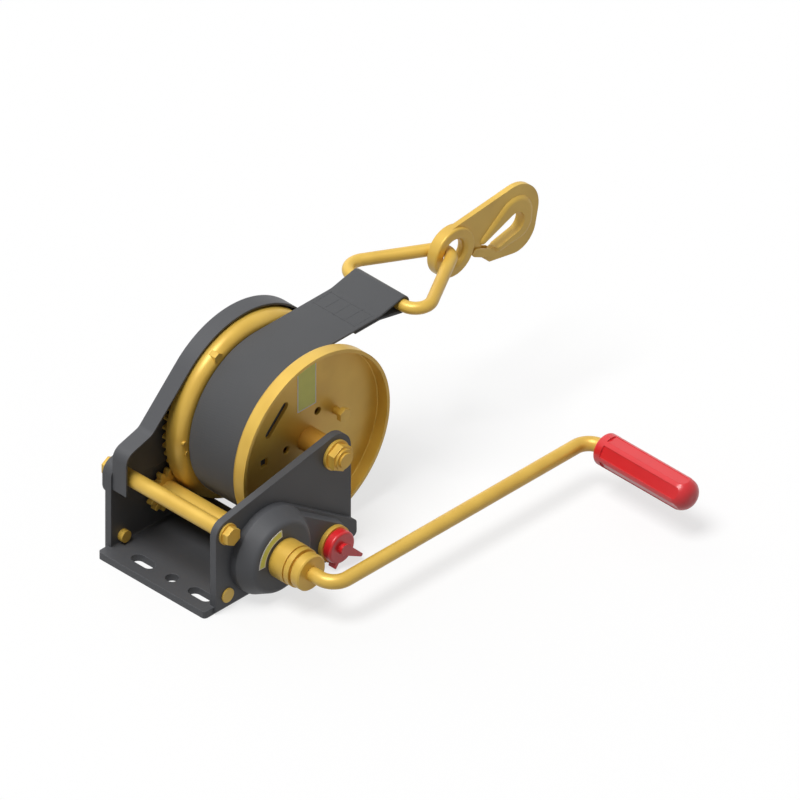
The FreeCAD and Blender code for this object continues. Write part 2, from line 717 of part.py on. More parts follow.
def gear_guard():
    """The pressed cover over the drum gear, open below."""
    body = new_body("gear_guard")
    pad(guard_outline(Drawing(body, "YZ", left_in), as_size(0)), s.guard_deep)
    cut_deep(guard_outline(Drawing(body, "YZ", left_in + s.guard_deep), s.guard_sheet),
             s.guard_deep - s.guard_sheet)
    low = s.tie_z - s.guard_front_low
    bottom = s.axle_z - s.guard_round * 2
    step = low - s.guard_back_low
    cut_through(Drawing(body, "YZ", left_in + s.guard_deep * 2).corners([
        (leg_front - s.guard_round, bottom),
        (s.axle_y + s.guard_round * 2, bottom),
        (s.axle_y + s.guard_round * 2, s.guard_back_low),
        (s.axle_y, s.guard_back_low),
        (s.axle_y - step, low),
        (leg_front - s.guard_round, low)]))
    holes = Drawing(body, "YZ", left_in + s.guard_deep * 2)
    holes.circle(s.axle_y, s.axle_z, s.axle_bolt_size / 2 + s.bolt_play)
    holes.circle(s.tie_y, s.tie_z, s.tie_bolt_size / 2 + s.bolt_play)
    cut_through(holes)


def bolt_head(body, x0, x1, y, z, across):
    """A hexagon head or nut on a body, between two planes."""
    first, last = (x0, x1) if as_size(x0).value < as_size(x1).value else (x1, x0)
    pad(Drawing(body, "YZ", first, y, z).hexagon(0, 0, across), as_size(last) - first)


def front_tie():
    """The front spacer with its through bolt, washer and nut."""
    radius = s.tie_bolt_size / 2
    washer_out = right_out + s.tie_washer_thick
    nut_out = doubler_out - s.tie_nut_high
    rod("front_spacer", guard_in, right_in, s.tie_y, s.tie_z, s.tie_spacer_size / 2,
        radius + s.bolt_play)
    rod("front_tie_washer", right_out, washer_out, s.tie_y, s.tie_z, s.tie_washer_round,
        radius + s.bolt_play)
    bolt = rod("front_tie_bolt", nut_out, washer_out, s.tie_y, s.tie_z, radius)
    bolt_head(bolt, washer_out, washer_out + s.tie_head_high, s.tie_y, s.tie_z,
              s.tie_head_across)
    nut = new_body("front_tie_nut")
    bolt_head(nut, nut_out, doubler_out, s.tie_y, s.tie_z, s.tie_head_across)
    cut_through(Drawing(nut, "YZ", doubler_out + s.doubler, s.tie_y, s.tie_z)
                .circle(0, 0, radius + s.run_play))


def low_bolts():
    """The two short bolts low in the legs."""
    radius = s.tie_bolt_size / 2
    y, z = s.low_bolt_y, s.low_bolt_z
    bolt = rod("lower_bolt_left", left_out - s.low_rivet_high, left_in, y, z, radius)
    pad(Drawing(bolt, "YZ", left_in, y, z).circle(0, 0, s.low_head_round), s.low_head_high)
    bolt = rod("lower_bolt_right", right_in - s.low_end_in, right_out, y, z, radius)
    pad(Drawing(bolt, "YZ", right_out, y, z).circle(0, 0, s.low_rivet_round), s.low_rivet_high)


def drum_axle():
    """The axle bolt, with the spacer that the drum turns on."""
    radius = s.axle_bolt_size / 2
    washer_out = right_out + s.axle_washer_thick
    nut_out = washer_out + s.axle_nut_high
    collar_out = nut_out + s.axle_collar_long
    rod("axle_spacer", guard_in, right_in, s.axle_y, s.axle_z, spacer_round,
        radius + s.bolt_play)
    rod("axle_washer", right_out, washer_out, s.axle_y, s.axle_z, s.axle_washer_round,
        radius + s.bolt_play)
    nut = new_body("axle_nut")
    bolt_head(nut, washer_out, nut_out, s.axle_y, s.axle_z, s.axle_head_across)
    pad(Drawing(nut, "YZ", nut_out, s.axle_y, s.axle_z).circle(0, 0, s.axle_collar_round),
        s.axle_collar_long)
    cut_through(Drawing(nut, "YZ", collar_out, s.axle_y, s.axle_z)
                .circle(0, 0, radius + s.run_play))
    bolt = rod("axle_bolt", doubler_out, collar_out + s.axle_bolt_end, s.axle_y, s.axle_z,
               radius)
    bolt_head(bolt, doubler_out - s.axle_head_high, doubler_out, s.axle_y, s.axle_z,
              s.axle_head_across)


def flanges():
    """The two dished flanges of the drum."""
    thick = s.flange_sheet
    rim = drum_right + s.right_rim
    body = turned("right_flange", s.axle_y, s.axle_z, [
        (drum_right, hub_bore, 0),
        (right_web_out, hub_bore, 0),
        (drum_right + s.right_bend, s.flange_round - s.right_bend, -(s.right_bend - thick)),
        (rim, s.flange_round - thick, 0),
        (rim, s.flange_round, 0),
        (drum_right + s.right_bend, s.flange_round - s.right_bend, s.right_bend)])
    holes = Drawing(body, "YZ", right_web_out + thick, s.axle_y, s.axle_z)
    middle = s.slot_hole_out * cosine(135)
    step = s.slot_hole_run / 2 * cosine(45)
    holes.belt([(middle - step, -middle - step, s.slot_hole_wide / 2),
                (middle + step, -middle + step, s.slot_hole_wide / 2)])
    side = s.square_hole / 2
    out = -s.square_hole_out
    holes.corners([(out - side, -side), (out + side, -side), (out + side, side),
                   (out - side, side)])
    for angle in (60, 180, 300):
        holes.circle(s.round_hole_out * cosine(angle), s.round_hole_out * sine(angle),
                     s.round_hole / 2)
    holes.circle(s.clamp_bolt_y, s.clamp_bolt_z, s.clamp_bolt_size / 2 + s.bolt_play)
    cut_through(holes)
    rim = drum_left - s.left_rim
    turned("left_flange", s.axle_y, s.axle_z, [
        (left_web_out, hub_bore, 0),
        (drum_left, hub_bore, 0),
        (drum_left - s.left_bend, s.flange_round - s.left_bend, s.left_bend),
        (rim, s.flange_round, 0),
        (rim, s.flange_round - thick, 0),
        (drum_left - s.left_bend, s.flange_round - s.left_bend, -(s.left_bend - thick))])


def drum_core():
    """The barrel, the hub tube and the bolts of the drum."""
    rod("drum_barrel", drum_left, drum_right, s.axle_y, s.axle_z, s.barrel_round,
        s.barrel_round - s.barrel_wall)
    rod("drum_hub", drum_left, drum_right, s.axle_y, s.axle_z, hub_bore + s.hub_wall, hub_bore)
    y, z = s.axle_y + s.clamp_bolt_y, s.axle_z + s.clamp_bolt_z
    head_in = right_web_out + s.clamp_bolt_stand - s.clamp_head_high
    bolt = rod("strap_clamp_bolt", drum_right, head_in, y, z, s.clamp_bolt_size / 2)
    bolt_head(bolt, head_in, right_web_out + s.clamp_bolt_stand, y, z, s.clamp_head_across)


def tooth_half_angle(radius, pitch_round, teeth):
    """Half the angle that a tooth takes at a radius, in radians, on an involute flank."""
    base = pitch_round * math.cos(math.radians(PRESSURE_ANGLE))
    lean = math.acos(min(1.0, base / radius))
    pressure = math.radians(PRESSURE_ANGLE)
    at_pitch = math.pi / (2 * teeth) - s.backlash.value / (4 * pitch_round)
    return at_pitch + math.tan(pressure) - pressure - (math.tan(lean) - lean)


def toothed_face(teeth, bore, turn):
    """The flat face of a gear at the origin of YZ, with a tooth in the direction turn."""
    pitch_round = s.tooth_size.value * teeth / 2
    tip = pitch_round + TIP_SHARE * s.tooth_size.value
    foot = pitch_round - ROOT_SHARE * s.tooth_size.value
    base = pitch_round * math.cos(math.radians(PRESSURE_ANGLE))
    low = max(foot, base)
    radii = [low + (tip - low) * step / FLANK_STEPS for step in range(FLANK_STEPS + 1)]

    def at(radius, angle):
        return Vector(0, radius * math.cos(angle), radius * math.sin(angle))

    edges = []
    for tooth in range(teeth):
        middle = turn + 2 * math.pi * tooth / teeth
        halves = [tooth_half_angle(radius, pitch_round, teeth) for radius in radii]
        rising = [at(radius, middle - half) for radius, half in zip(radii, halves)]
        falling = [at(radius, middle + half) for radius, half in zip(radii, halves)][::-1]
        foot_in = at(foot, middle - halves[0])
        foot_out = at(foot, middle + halves[0])
        chain = rising if low == foot else [foot_in] + rising
        edges += [Part.makeLine(a, b) for a, b in zip(chain, chain[1:])]
        edges.append(Part.Arc(rising[-1], at(tip, middle), falling[0]).toShape())
        chain = falling if low == foot else falling + [foot_out]
        edges += [Part.makeLine(a, b) for a, b in zip(chain, chain[1:])]
        next_middle = turn + 2 * math.pi * (tooth + 1) / teeth
        gap_middle = (middle + next_middle) / 2
        edges.append(Part.Arc(at(foot, middle + halves[0]), at(foot, gap_middle),
                              at(foot, next_middle - halves[0])).toShape())
    outline = Part.Wire(Part.__sortEdges__(edges))
    hole = Part.Wire(Part.makeCircle(bore, Vector(), Vector(1, 0, 0)))
    return Part.makeFace([outline, hole], "Part::FaceMakerBullseye")


def gear_feature(label, shape, x, y, z):
    """A gear's solid as an object of the document, put on its axis."""
    feature = document.addObject("Part::Feature", label)
    feature.Label = label
    feature.Shape = shape
    feature.Placement = Placement(Vector(x.value, y.value, z.value), Rotation())


def gears():
    """The drum gear with its boss, and the pinion in mesh with it."""
    towards_pinion = math.pi + math.radians(s.drive_slope.value)
    half_tooth = math.pi / s.pinion_teeth.value
    face = toothed_face(int(s.gear_teeth.value), hub_bore.value, towards_pinion)
    gear = face.extrude(Vector(s.gear_thick.value, 0, 0))
    boss_long = left_web_out.value - gear_left.value
    boss = Part.makeCylinder(s.gear_boss.value, boss_long, Vector(), Vector(1, 0, 0))
    bore = Part.makeCylinder(hub_bore.value, boss_long, Vector(), Vector(1, 0, 0))
    gear_feature("drum_gear", gear.fuse(boss).cut(bore).removeSplitter(), gear_left,
                 s.axle_y, s.axle_z)
    face = toothed_face(int(s.pinion_teeth.value), s.shaft_size.value / 2 + s.run_play.value,
                        math.radians(s.drive_slope.value) + half_tooth)
    pinion_left = gear_left - (s.pinion_wide - s.gear_thick) / 2
    gear_feature("pinion", face.extrude(Vector(s.pinion_wide.value, 0, 0)), pinion_left,
                 drive_y, drive_z)


def brake_housing():
    """The brake housing on the right leg, with the arm that carries the knob."""
    body = new_body("brake_housing")
    radius = drive_z - s.housing_lift
    end_y = s.arm_end_y - s.arm_corner
    pad(Drawing(body, "YZ", right_out).belt([
        (drive_y, drive_z, radius),
        (end_y, s.arm_end_low, s.arm_corner),
        (end_y, s.arm_end_z, s.arm_corner)]), s.housing_flange)
    flange_face = right_out + s.housing_flange
    arm_face = right_out + s.arm_deep
    pad(Drawing(body, "YZ", flange_face).belt([
        (drive_y, drive_z, radius - s.arm_inset),
        (s.knob_y, s.knob_z, s.knob_lobe - s.housing_lift)]),
        arm_face - flange_face, s.arm_draft)
    revolve(Drawing(body, "XZ", 0, drive_y, drive_z).belt([
        (right_out, 0, 0),
        (housing_face, 0, 0),
        (housing_face - s.housing_edge, s.housing_face_round, s.housing_edge),
        (flange_face, radius, 0),
        (right_out, radius, 0)]))

    def at_round_part(edge):
        if isinstance(edge.Curve, Part.Hyperbola):
            return True
        if not isinstance(edge.Curve, Part.Circle) or not lies_across(edge, arm_face):
            return False
        middle = edge.Curve.Center
        return math.hypot(middle.y - drive_y.value, middle.z - drive_z.value) < EDGE_NEAR

    def on_arm(edge):
        return lies_across(edge, arm_face) and not at_round_part(edge)

    round_off(body, s.arm_edge, on_arm)
    round_off(body, s.housing_blend, at_round_part)
    cut_through(Drawing(body, "YZ", housing_face + s.face_play, drive_y, drive_z)
                .circle(0, 0, s.shaft_size / 2 + s.run_play))


def knob():
    """The red selector knob and the bush that it turns in."""
    bush_in = right_out + s.arm_deep
    bush_out = bush_in + s.knob_bush_long
    rod("knob_bush", bush_in, bush_out, s.knob_y, s.knob_z, s.knob_bush_round,
        s.knob_stem / 2 + s.run_play)
    cap_in = bush_out + s.face_play
    cap_out = bush_out + s.knob_thick
    stem_in = bush_in + s.face_play
    stem = s.knob_stem / 2
    body = turned("selector_knob", s.knob_y, s.knob_z, [
        (stem_in, 0, 0),
        (cap_out, 0, 0),
        (cap_out - s.knob_edge, s.knob_round - s.knob_edge, s.knob_edge),
        (cap_in, s.knob_round, 0),
        (cap_in, stem, 0),
        (stem_in, stem, 0)])
    for reach, angle, root_half, tip_half, height in (
            (s.lever_reach, s.lever_angle, s.lever_root, s.lever_tip, s.lever_high),
            (s.wing_reach, s.wing_angle, s.wing_root, s.wing_tip, as_size(0))):
        end = reach - tip_half
        pad(Drawing(body, "YZ", cap_in, s.knob_y, s.knob_z).belt([
            (0, 0, root_half),
            (end * cosine(angle), end * sine(angle), tip_half)]), cap_out + height - cap_in)


def crank():
    """The shaft, the turned hub, the bent rod and the grip of the crank."""
    radius = s.rod_size / 2
    rod("drive_shaft", doubler_out, hub_start, drive_y, drive_z, s.shaft_size / 2)
    ring_in = hub_start + s.hub_back_long
    ring_out = ring_in + s.hub_step
    groove_in = ring_out + s.hub_ring_long
    groove_out = groove_in + s.hub_groove_wide
    turned("crank_hub", drive_y, drive_z, [
        (hub_start, 0, 0),
        (hub_end, 0, 0),
        (hub_end, s.crank_nose_round - s.hub_step, 0),
        (hub_end - s.hub_step, s.crank_nose_round, 0),
        (groove_out, s.crank_nose_round, 0),
        (groove_out, s.hub_groove_round, 0),
        (groove_in, s.hub_groove_round, 0),
        (groove_in, s.crank_ring_round, 0),
        (ring_out, s.crank_ring_round, 0),
        (ring_out, s.crank_nose_round, 0),
        (ring_in, s.crank_nose_round, 0),
        (ring_in, s.crank_hub_round, 0),
        (hub_start, s.crank_hub_round, 0)])
    body = new_body("crank_arm")
    grip_y = drive_y + s.arm_long
    grip_end = arm_x + s.grip_start + s.grip_long
    rod_end = grip_end - s.grip_wall - s.face_play
    spine = Drawing(body, "XY", 0, 0, drive_z).belt([
        (hub_end, drive_y, 0),
        (arm_x - s.rod_bend, drive_y + s.rod_bend, s.rod_bend),
        (arm_x + s.rod_bend, grip_y - s.rod_bend, -s.rod_bend),
        (rod_end, grip_y, 0)], closed=False)
    pipe(Drawing(body, "YZ", hub_end, drive_y, drive_z).circle(0, 0, radius), spine)
    grip_in = arm_x + s.grip_start
    outside = s.grip_size / 2
    inside = radius + s.grip_play
    body = turned("hand_grip", grip_y, drive_z, [
        (grip_in, inside, 0),
        (rod_end + s.face_play, inside, 0),
        (rod_end + s.face_play, 0, 0),
        (grip_end, 0, 0),
        (grip_end - s.grip_dome, outside - s.grip_dome, s.grip_dome),
        (grip_in + s.grip_edge, outside - s.grip_edge, s.grip_edge)])
    axis = body.Tip.Profile[0]
    side = s.panel_wide / 2
    panel = cut_deep(Drawing(body, "XY", 0, grip_y, drive_z + outside).corners([
        (grip_in + s.panel_start, -side), (grip_end, -side),
        (grip_end, side), (grip_in + s.panel_start, side)]), s.panel_deep)
    repeat_round(body, panel, axis, s.panel_count)


def strap():
    """The strap on the drum, its outermost turn and its run with the sewn loop."""
    rod("webbing_roll", strap_left, strap_left + strap_wide, s.axle_y, s.axle_z,
        s.roll_round - s.strap_thick - s.face_play, s.barrel_round + s.run_play)
    body = new_body("webbing_run")
    half = s.strap_thick / 2
    turn = s.roll_round - half
    gentle = s.strap_thick * 8
    out_y, out_z = cosine(s.turn_end), sine(s.turn_end)
    tail_y = s.axle_y + turn * out_y - s.strap_thick * out_z
    tail_z = s.axle_z + turn * out_z + s.strap_thick * out_y
    bends = [(s.axle_y, s.axle_z, -turn),
             (s.split_y, run_mid_z + gentle, gentle),
             (s.ring_y, ring_z, -loop_mid_round),
             (s.split_y, second_mid_z - gentle, gentle)]
    inside = [(y, z, bend + half) for y, z, bend in bends]
    outside = [(y, z, half - bend) for y, z, bend in reversed(bends)]
    outline = [(tail_y - half * out_y, tail_z - half * out_z, 0)]
    outline += inside
    outline += [(s.sewn_start, second_mid_z + half, 0), (s.sewn_start, second_mid_z - half, 0)]
    outline += outside
    outline += [(tail_y + half * out_y, tail_z + half * out_z, 0)]
    pad(Drawing(body, "YZ", strap_left).belt(outline), strap_wide)


def pull_ring():
    """The triangular ring at the strap's end, bent from a round rod."""
    body = new_body("pull_ring")
    end_x = s.ring_half - s.ring_corner * (ring_side + s.ring_half) / s.ring_long
    spine = Drawing(body, "XY", strap_mid, s.ring_y, ring_z).belt([
        (-end_x, s.ring_corner, s.ring_corner),
        (end_x, s.ring_corner, s.ring_corner),
        (0, s.ring_long - s.ring_apex * ring_side / s.ring_half, s.ring_apex)])
    pipe(Drawing(body, "YZ", strap_mid, s.ring_y, ring_z).circle(0, 0, s.ring_rod / 2), spine)


def hook():
    """The snap hook, its gate and the gate's pin."""
    plate_left = strap_mid - s.hook_plate / 2
    plate_right = strap_mid + s.hook_plate / 2
    far = strap_mid + s.eye_thick
    body = new_body("snap_hook")
    pad(Drawing(body, "YZ", strap_mid - s.bead_thick / 2, eye_y, eye_z).belt([
        (s.bead_start_y, -s.bead_start_drop, s.bead_end_round),
        (s.bead_notch_y, -s.bead_notch_drop, -s.bead_notch_round),
        (s.bead_end_y, -s.bead_end_drop, s.bead_end_round),
        (s.bead_lower_y, -s.bead_lower_drop, s.bead_lower_round),
        (s.bead_upper_y, -s.bead_upper_drop, s.bead_upper_round)]), s.bead_thick)
    faces = (strap_mid - s.bead_thick / 2, strap_mid + s.bead_thick / 2)
    round_off(body, s.bead_edge, lambda edge: any(lies_across(edge, x) for x in faces))
    pad(Drawing(body, "YZ", plate_left, eye_y, eye_z).belt([
        (0, 0, s.eye_round),
        (s.nose_y, -s.nose_drop, s.nose_round),
        (s.belly_y, -s.belly_drop, s.belly_round),
        (s.hook_long, s.hook_lift, s.hook_round)]), s.hook_plate)
    cut_through(Drawing(body, "YZ", far, eye_y, eye_z).belt([
        (s.mouth_start, -s.mouth_start_drop, s.mouth_narrow),
        (s.mouth_low_y, -s.mouth_low_drop, s.mouth_low_round),
        (s.mouth_y, -s.mouth_drop, s.mouth_round)]))
    below = s.belly_drop + s.belly_round
    cut_through(Drawing(body, "YZ", far, eye_y, eye_z).corners([
        (s.mouth_start, -s.throat_drop),
        (s.eye_hole, -s.throat_drop),
        (-s.eye_hole, -s.eye_hole),
        (-s.eye_hole, -s.nose_left_drop - below),
        (s.nose_left + below, -s.nose_left_drop - below),
        (s.nose_left, -s.nose_left_drop),
        (s.nose_top_y, -s.nose_top_drop),
        (s.mouth_low_y, -s.mouth_low_drop)]))
    pin_y, pin_z = s.gate_pin_y, -s.gate_pin_drop
    pin_round = s.gate_pin_size / 2
    gate_round = s.gate_high / 2
    pad(Drawing(body, "YZ", plate_left, eye_y, eye_z).belt([
        (pin_y, pin_z, s.gate_pin_size),
        (s.jaw_y - s.jaw_round, pin_z, s.jaw_round),
        (s.jaw_y, -s.throat_drop, s.jaw_round),
        (s.eye_hole + s.jaw_round, 0, s.jaw_round)]), s.hook_plate)
    cut_through(Drawing(body, "YZ", far, eye_y, eye_z)
                .circle(0, 0, (s.eye_hole + s.eye_round) / 2))
    half = s.eye_thick / 2
    inner, outer = s.eye_edge_in, s.eye_edge_out
    revolve(Drawing(body, "XZ", strap_mid, eye_y, eye_z).belt([
        (inner - half, s.eye_hole + inner, inner),
        (half - inner, s.eye_hole + inner, inner),
        (half - outer, s.eye_round - outer, outer),
        (outer - half, s.eye_round - outer, outer)]))
    cut_through(Drawing(body, "YZ", far, eye_y, eye_z)
                .circle(pin_y, pin_z, pin_round + s.run_play / 2))
    slot_right = plate_right + s.face_play
    gate_left = plate_left - s.face_play - s.gate_sheet
    gate_right = slot_right + s.gate_sheet
    rod("gate_pin", gate_left, gate_right, eye_y + pin_y, eye_z + pin_z, pin_round)
    gate = new_body("hook_gate")
    tip_y, tip_z = s.gate_tip_y, -s.gate_tip_drop
    pad(Drawing(gate, "YZ", gate_left, eye_y, eye_z).belt([
        (pin_y, pin_z, gate_round),
        (tip_y, tip_z, gate_round)]), gate_right - gate_left)
    gate_long = root((tip_y - pin_y) * (tip_y - pin_y) + (tip_z - pin_z) * (tip_z - pin_z))
    along_y, along_z = (tip_y - pin_y) / gate_long, (tip_z - pin_z) / gate_long

    def on_gate(along, up):
        return (pin_y + along_y * along - along_z * up, pin_z + along_z * along + along_y * up)

    web_top = s.gate_web_thick - gate_round
    web_end = s.gate_web_start + s.gate_web_long
    cut_deep(Drawing(gate, "YZ", slot_right, eye_y, eye_z).corners([
        on_gate(-s.gate_high, s.gate_high),
        on_gate(-s.gate_high, -s.gate_high),
        on_gate(s.gate_web_start, -s.gate_high),
        on_gate(s.gate_web_start, web_top),
        on_gate(web_end, web_top),
        on_gate(web_end, -s.gate_high),
        on_gate(gate_long + s.gate_high, -s.gate_high),
        on_gate(gate_long + s.gate_high, s.gate_high)]), s.hook_plate + s.face_play * 2)
    cut_through(Drawing(gate, "YZ", far, eye_y, eye_z)
                .circle(pin_y, pin_z, pin_round + s.run_play))


def check_and_write():
    """Checks every object and solid, and writes each node to its file."""
    document.recompute()
    for item in document.Objects:
        if "Invalid" in item.State or "Error" in item.State:
            raise RuntimeError("%s is in state %s" % (item.Label, item.State))
    os.makedirs(OUT_FOLDER, exist_ok=True)
    nodes = [item for item in document.Objects
             if item.TypeId in ("PartDesign::Body", "Part::Feature")]
    for node in nodes:
        if node.Shape.isNull() or not node.Shape.isValid() or not node.Shape.Solids:
            raise RuntimeError("%s has no valid solid" % node.Label)
        node.Shape.exportStep(os.path.join(OUT_FOLDER, node.Label + ".step"))
    print("%d nodes written" % len(nodes))


channel_frame()
left_plate()
gear_guard()
front_tie()
low_bolts()
drum_axle()
flanges()
drum_core()
gears()
brake_housing()
knob()
crank()
strap()
pull_ring()
hook()
check_and_write()
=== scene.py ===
"""Looks of a hand winch with a webbing strap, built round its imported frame.

Metres, in the part's own frame: X along the drum's axle towards the crank, Y the way the strap is
pulled, Z up. The origin is the middle bolt hole at the underside of the winch's frame.
"""
import logging
import math
from dataclasses import dataclass, field
from enum import Enum
from typing import Any, Iterable, Optional, Union

import bmesh
import bpy
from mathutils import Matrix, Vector


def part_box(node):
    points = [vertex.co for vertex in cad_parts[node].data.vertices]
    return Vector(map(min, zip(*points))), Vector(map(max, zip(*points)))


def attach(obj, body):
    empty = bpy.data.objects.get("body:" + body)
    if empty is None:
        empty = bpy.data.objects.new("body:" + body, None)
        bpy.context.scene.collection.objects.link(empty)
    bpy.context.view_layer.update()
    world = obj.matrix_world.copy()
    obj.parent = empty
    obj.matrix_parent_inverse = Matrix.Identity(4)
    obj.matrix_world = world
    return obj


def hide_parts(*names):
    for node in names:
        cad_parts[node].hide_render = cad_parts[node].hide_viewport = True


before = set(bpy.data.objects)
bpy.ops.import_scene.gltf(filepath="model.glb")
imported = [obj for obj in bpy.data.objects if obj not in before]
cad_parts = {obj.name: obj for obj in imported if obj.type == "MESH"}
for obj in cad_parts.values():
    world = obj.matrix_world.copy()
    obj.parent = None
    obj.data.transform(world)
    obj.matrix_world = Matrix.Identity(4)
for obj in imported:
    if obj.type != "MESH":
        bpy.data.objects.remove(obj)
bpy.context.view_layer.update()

LOG = logging.getLogger("hand_winch")
MM = 0.001
MERGE = 1e-7

# From the end of the drum's barrel to the outer face of its flange.
WEB_PAST_BARREL = 2.7 * MM

Colour = tuple[float, float, float]
Number = Union["Wire", float, int]


def linear(red: int, green: int, blue: int) -> Colour:
    """A colour given on the usual scale of 0 to 255, as light."""
    def channel(value: int) -> float:
        """One channel as light."""
        share = value / 255
        return share / 12.92 if share <= 0.04045 else ((share + 0.055) / 1.055) ** 2.4
    return channel(red), channel(green), channel(blue)


def scaled(colour: Colour, factor: float) -> Colour:
    """A colour made lighter or darker by a factor."""
    return tuple(channel * factor for channel in colour)


class Wire:
    """A socket that gives a number. Python's operators on it add Math nodes."""

    def __init__(self, graph: "Graph", socket: bpy.types.NodeSocket) -> None:
        """Keeps the socket and the graph that it belongs to."""
        self.graph = graph
        self.socket = socket

    def __add__(self, other: Number) -> "Wire":
        """This plus the other."""
        return self.graph.math("ADD", self, other)

    def __radd__(self, other: Number) -> "Wire":
        """The other plus this."""
        return self.graph.math("ADD", other, self)

    def __sub__(self, other: Number) -> "Wire":
        """This less the other."""
        return self.graph.math("SUBTRACT", self, other)

    def __rsub__(self, other: Number) -> "Wire":
        """The other less this."""
        return self.graph.math("SUBTRACT", other, self)

    def __mul__(self, other: Number) -> "Wire":
        """This times the other."""
        return self.graph.math("MULTIPLY", self, other)

    def __rmul__(self, other: Number) -> "Wire":
        """The other times this."""
        return self.graph.math("MULTIPLY", other, self)

    def __abs__(self) -> "Wire":
        """This without its sign."""
        return self.graph.math("ABSOLUTE", self)

    def sine(self) -> "Wire":
        """The sine of this, in radians."""
        return self.graph.math("SINE", self)

    def above(self, limit: Number) -> "Wire":
        """One where this is above a limit, else nought."""
        return self.graph.math("GREATER_THAN", self, limit)

    def clamped(self) -> "Wire":
        """This, kept between nought and one."""
        return self.graph.math("MULTIPLY", self, 1.0, {"use_clamp": True})


class Graph:
    """Adds nodes to one tree of a material or of geometry, and joins them."""

    def __init__(self, tree: bpy.types.NodeTree) -> None:
        """Keeps the tree."""
        self.tree = tree

    @staticmethod
    def find(sockets: Any, key: Union[str, int]) -> bpy.types.NodeSocket:
        """The socket with an identifier, or else with a name or an index."""
        for socket in sockets:
            if socket.identifier == key:
                return socket
        return sockets[key]

    def add(self, kind: str, settings: Optional[dict[str, Any]] = None,
            inputs: Optional[dict[Any, Any]] = None) -> bpy.types.Node:
        """Adds one node.

        Args:
            kind: Blender's name of the node's type.
            settings: The node's own choices, set before its sockets. The entry stops is a ramp's
                list of (position, colour), and captures is a list of (type, name).
            inputs: The value or the wire of each socket.

        Returns:
            The node.
        """
        node = self.tree.nodes.new(kind)
        for name, value in (settings or {}).items():
            if name == "stops":
                self._set_stops(node.color_ramp, value)
            elif name == "captures":
                for data_type, label in value:
                    node.capture_items.new(data_type, label)
            else:
                setattr(node, name, value)
        for key, value in (inputs or {}).items():
            socket = self.find(node.inputs, key)
            if isinstance(value, Wire):
                self.tree.links.new(value.socket, socket)
            elif isinstance(value, list):
                for wire in value:
                    self.tree.links.new(wire.socket, socket)
            else:
                socket.default_value = value
        return node

    @staticmethod
    def _set_stops(ramp: bpy.types.ColorRamp, stops: list[tuple[float, Colour]]) -> None:
        """Gives a ramp its stops."""
        while len(ramp.elements) < len(stops):
            ramp.elements.new(1.0)
        for element, (position, colour) in zip(ramp.elements, stops):
            element.position = position
            element.color = (*colour, 1.0)

    def wire(self, node: bpy.types.Node, key: Union[str, int] = 0) -> Wire:
        """A node's output as a wire."""
        return Wire(self, self.find(node.outputs, key))

    def math(self, operation: str, first: Number, second: Number = 0.0,
             settings: Optional[dict[str, Any]] = None) -> Wire:
        """Joins two numbers by a Math node."""
        node = self.add("ShaderNodeMath", {"operation": operation, **(settings or {})},
                        {0: first, 1: second})
        return self.wire(node)


class FinishGraph(Graph):
    """The nodes of one material. All lengths are in metres, on the object's own coordinates."""

    def __init__(self, name: str) -> None:
        """Starts an empty material."""
        self.material = bpy.data.materials.new(name)
        self.material.use_nodes = True
        super().__init__(self.material.node_tree)
        self.tree.nodes.clear()
        self.output = self.add("ShaderNodeOutputMaterial")
        self.place = self.wire(self.add("ShaderNodeTexCoord"), "Object")

    def noise(self, grain: float, detail: float = 2.0) -> Wire:
        """Soft noise with spots of about the size grain."""
        node = self.add("ShaderNodeTexNoise", {}, {
            "Vector": self.place, "Scale": 1 / grain, "Detail": detail})
        return self.wire(node)

    def ramp(self, factor: Wire, stops: list[tuple[float, Colour]]) -> Wire:
        """A colour chosen along a ramp."""
        return self.wire(self.add("ShaderNodeValToRGB", {"stops": stops}, {"Fac": factor}))

    def blend(self, factor: Number, first: Any, second: Any) -> Wire:
        """Two colours mixed by a factor."""
        def as_input(value: Any) -> Any:
            """A colour in the form that a socket takes."""
            return value if isinstance(value, Wire) else (*value, 1.0)
        node = self.add("ShaderNodeMix", {"data_type": "RGBA"}, {
            "Factor_Float": factor, "A_Color": as_input(first), "B_Color": as_input(second)})
        return self.wire(node, "Result_Color")

    def soft_edges(self, radius: float) -> Wire:
        """The surface's normal, with sharp edges rounded by a small radius."""
        node = self.add("ShaderNodeBevel", {"samples": 6}, {"Radius": radius})
        return self.wire(node)

    def edge_mask(self, rounded: Wire, gain: float) -> Wire:
        """One along the sharp edges that a rounded normal finds, nought elsewhere."""
        own = self.wire(self.add("ShaderNodeNewGeometry"), "Normal")
        node = self.add("ShaderNodeVectorMath", {"operation": "DOT_PRODUCT"},
                        {0: rounded, 1: own})
        return ((1 - self.wire(node, "Value")) * gain).clamped()

    def bump(self, height: Wire, depth: float, normal: Optional[Wire] = None) -> Wire:
        """A normal that follows a height of 0 to 1, times depth in metres."""
        inputs = {"Height": height, "Distance": depth, "Strength": 1.0}
        if normal is not None:
            inputs["Normal"] = normal
        return self.wire(self.add("ShaderNodeBump", {}, inputs))

    def principled(self, **inputs: Any) -> Wire:
        """A Principled shader with the given sockets."""
        named = {key.replace("_", " ").title(): value for key, value in inputs.items()}
        for key, value in named.items():
            if isinstance(value, tuple) and len(value) == 3:
                named[key] = (*value, 1.0)
        return self.wire(self.add("ShaderNodeBsdfPrincipled", {}, named))

    def end(self, shader: Wire) -> bpy.types.Material:
        """Ends the material in a shader."""
        self.tree.links.new(shader.socket, self.output.inputs["Surface"])
        return self.material

    def surface(self, **inputs: Any) -> bpy.types.Material:
        """Ends the material in a Principled shader with the given sockets."""
        return self.end(self.principled(**inputs))


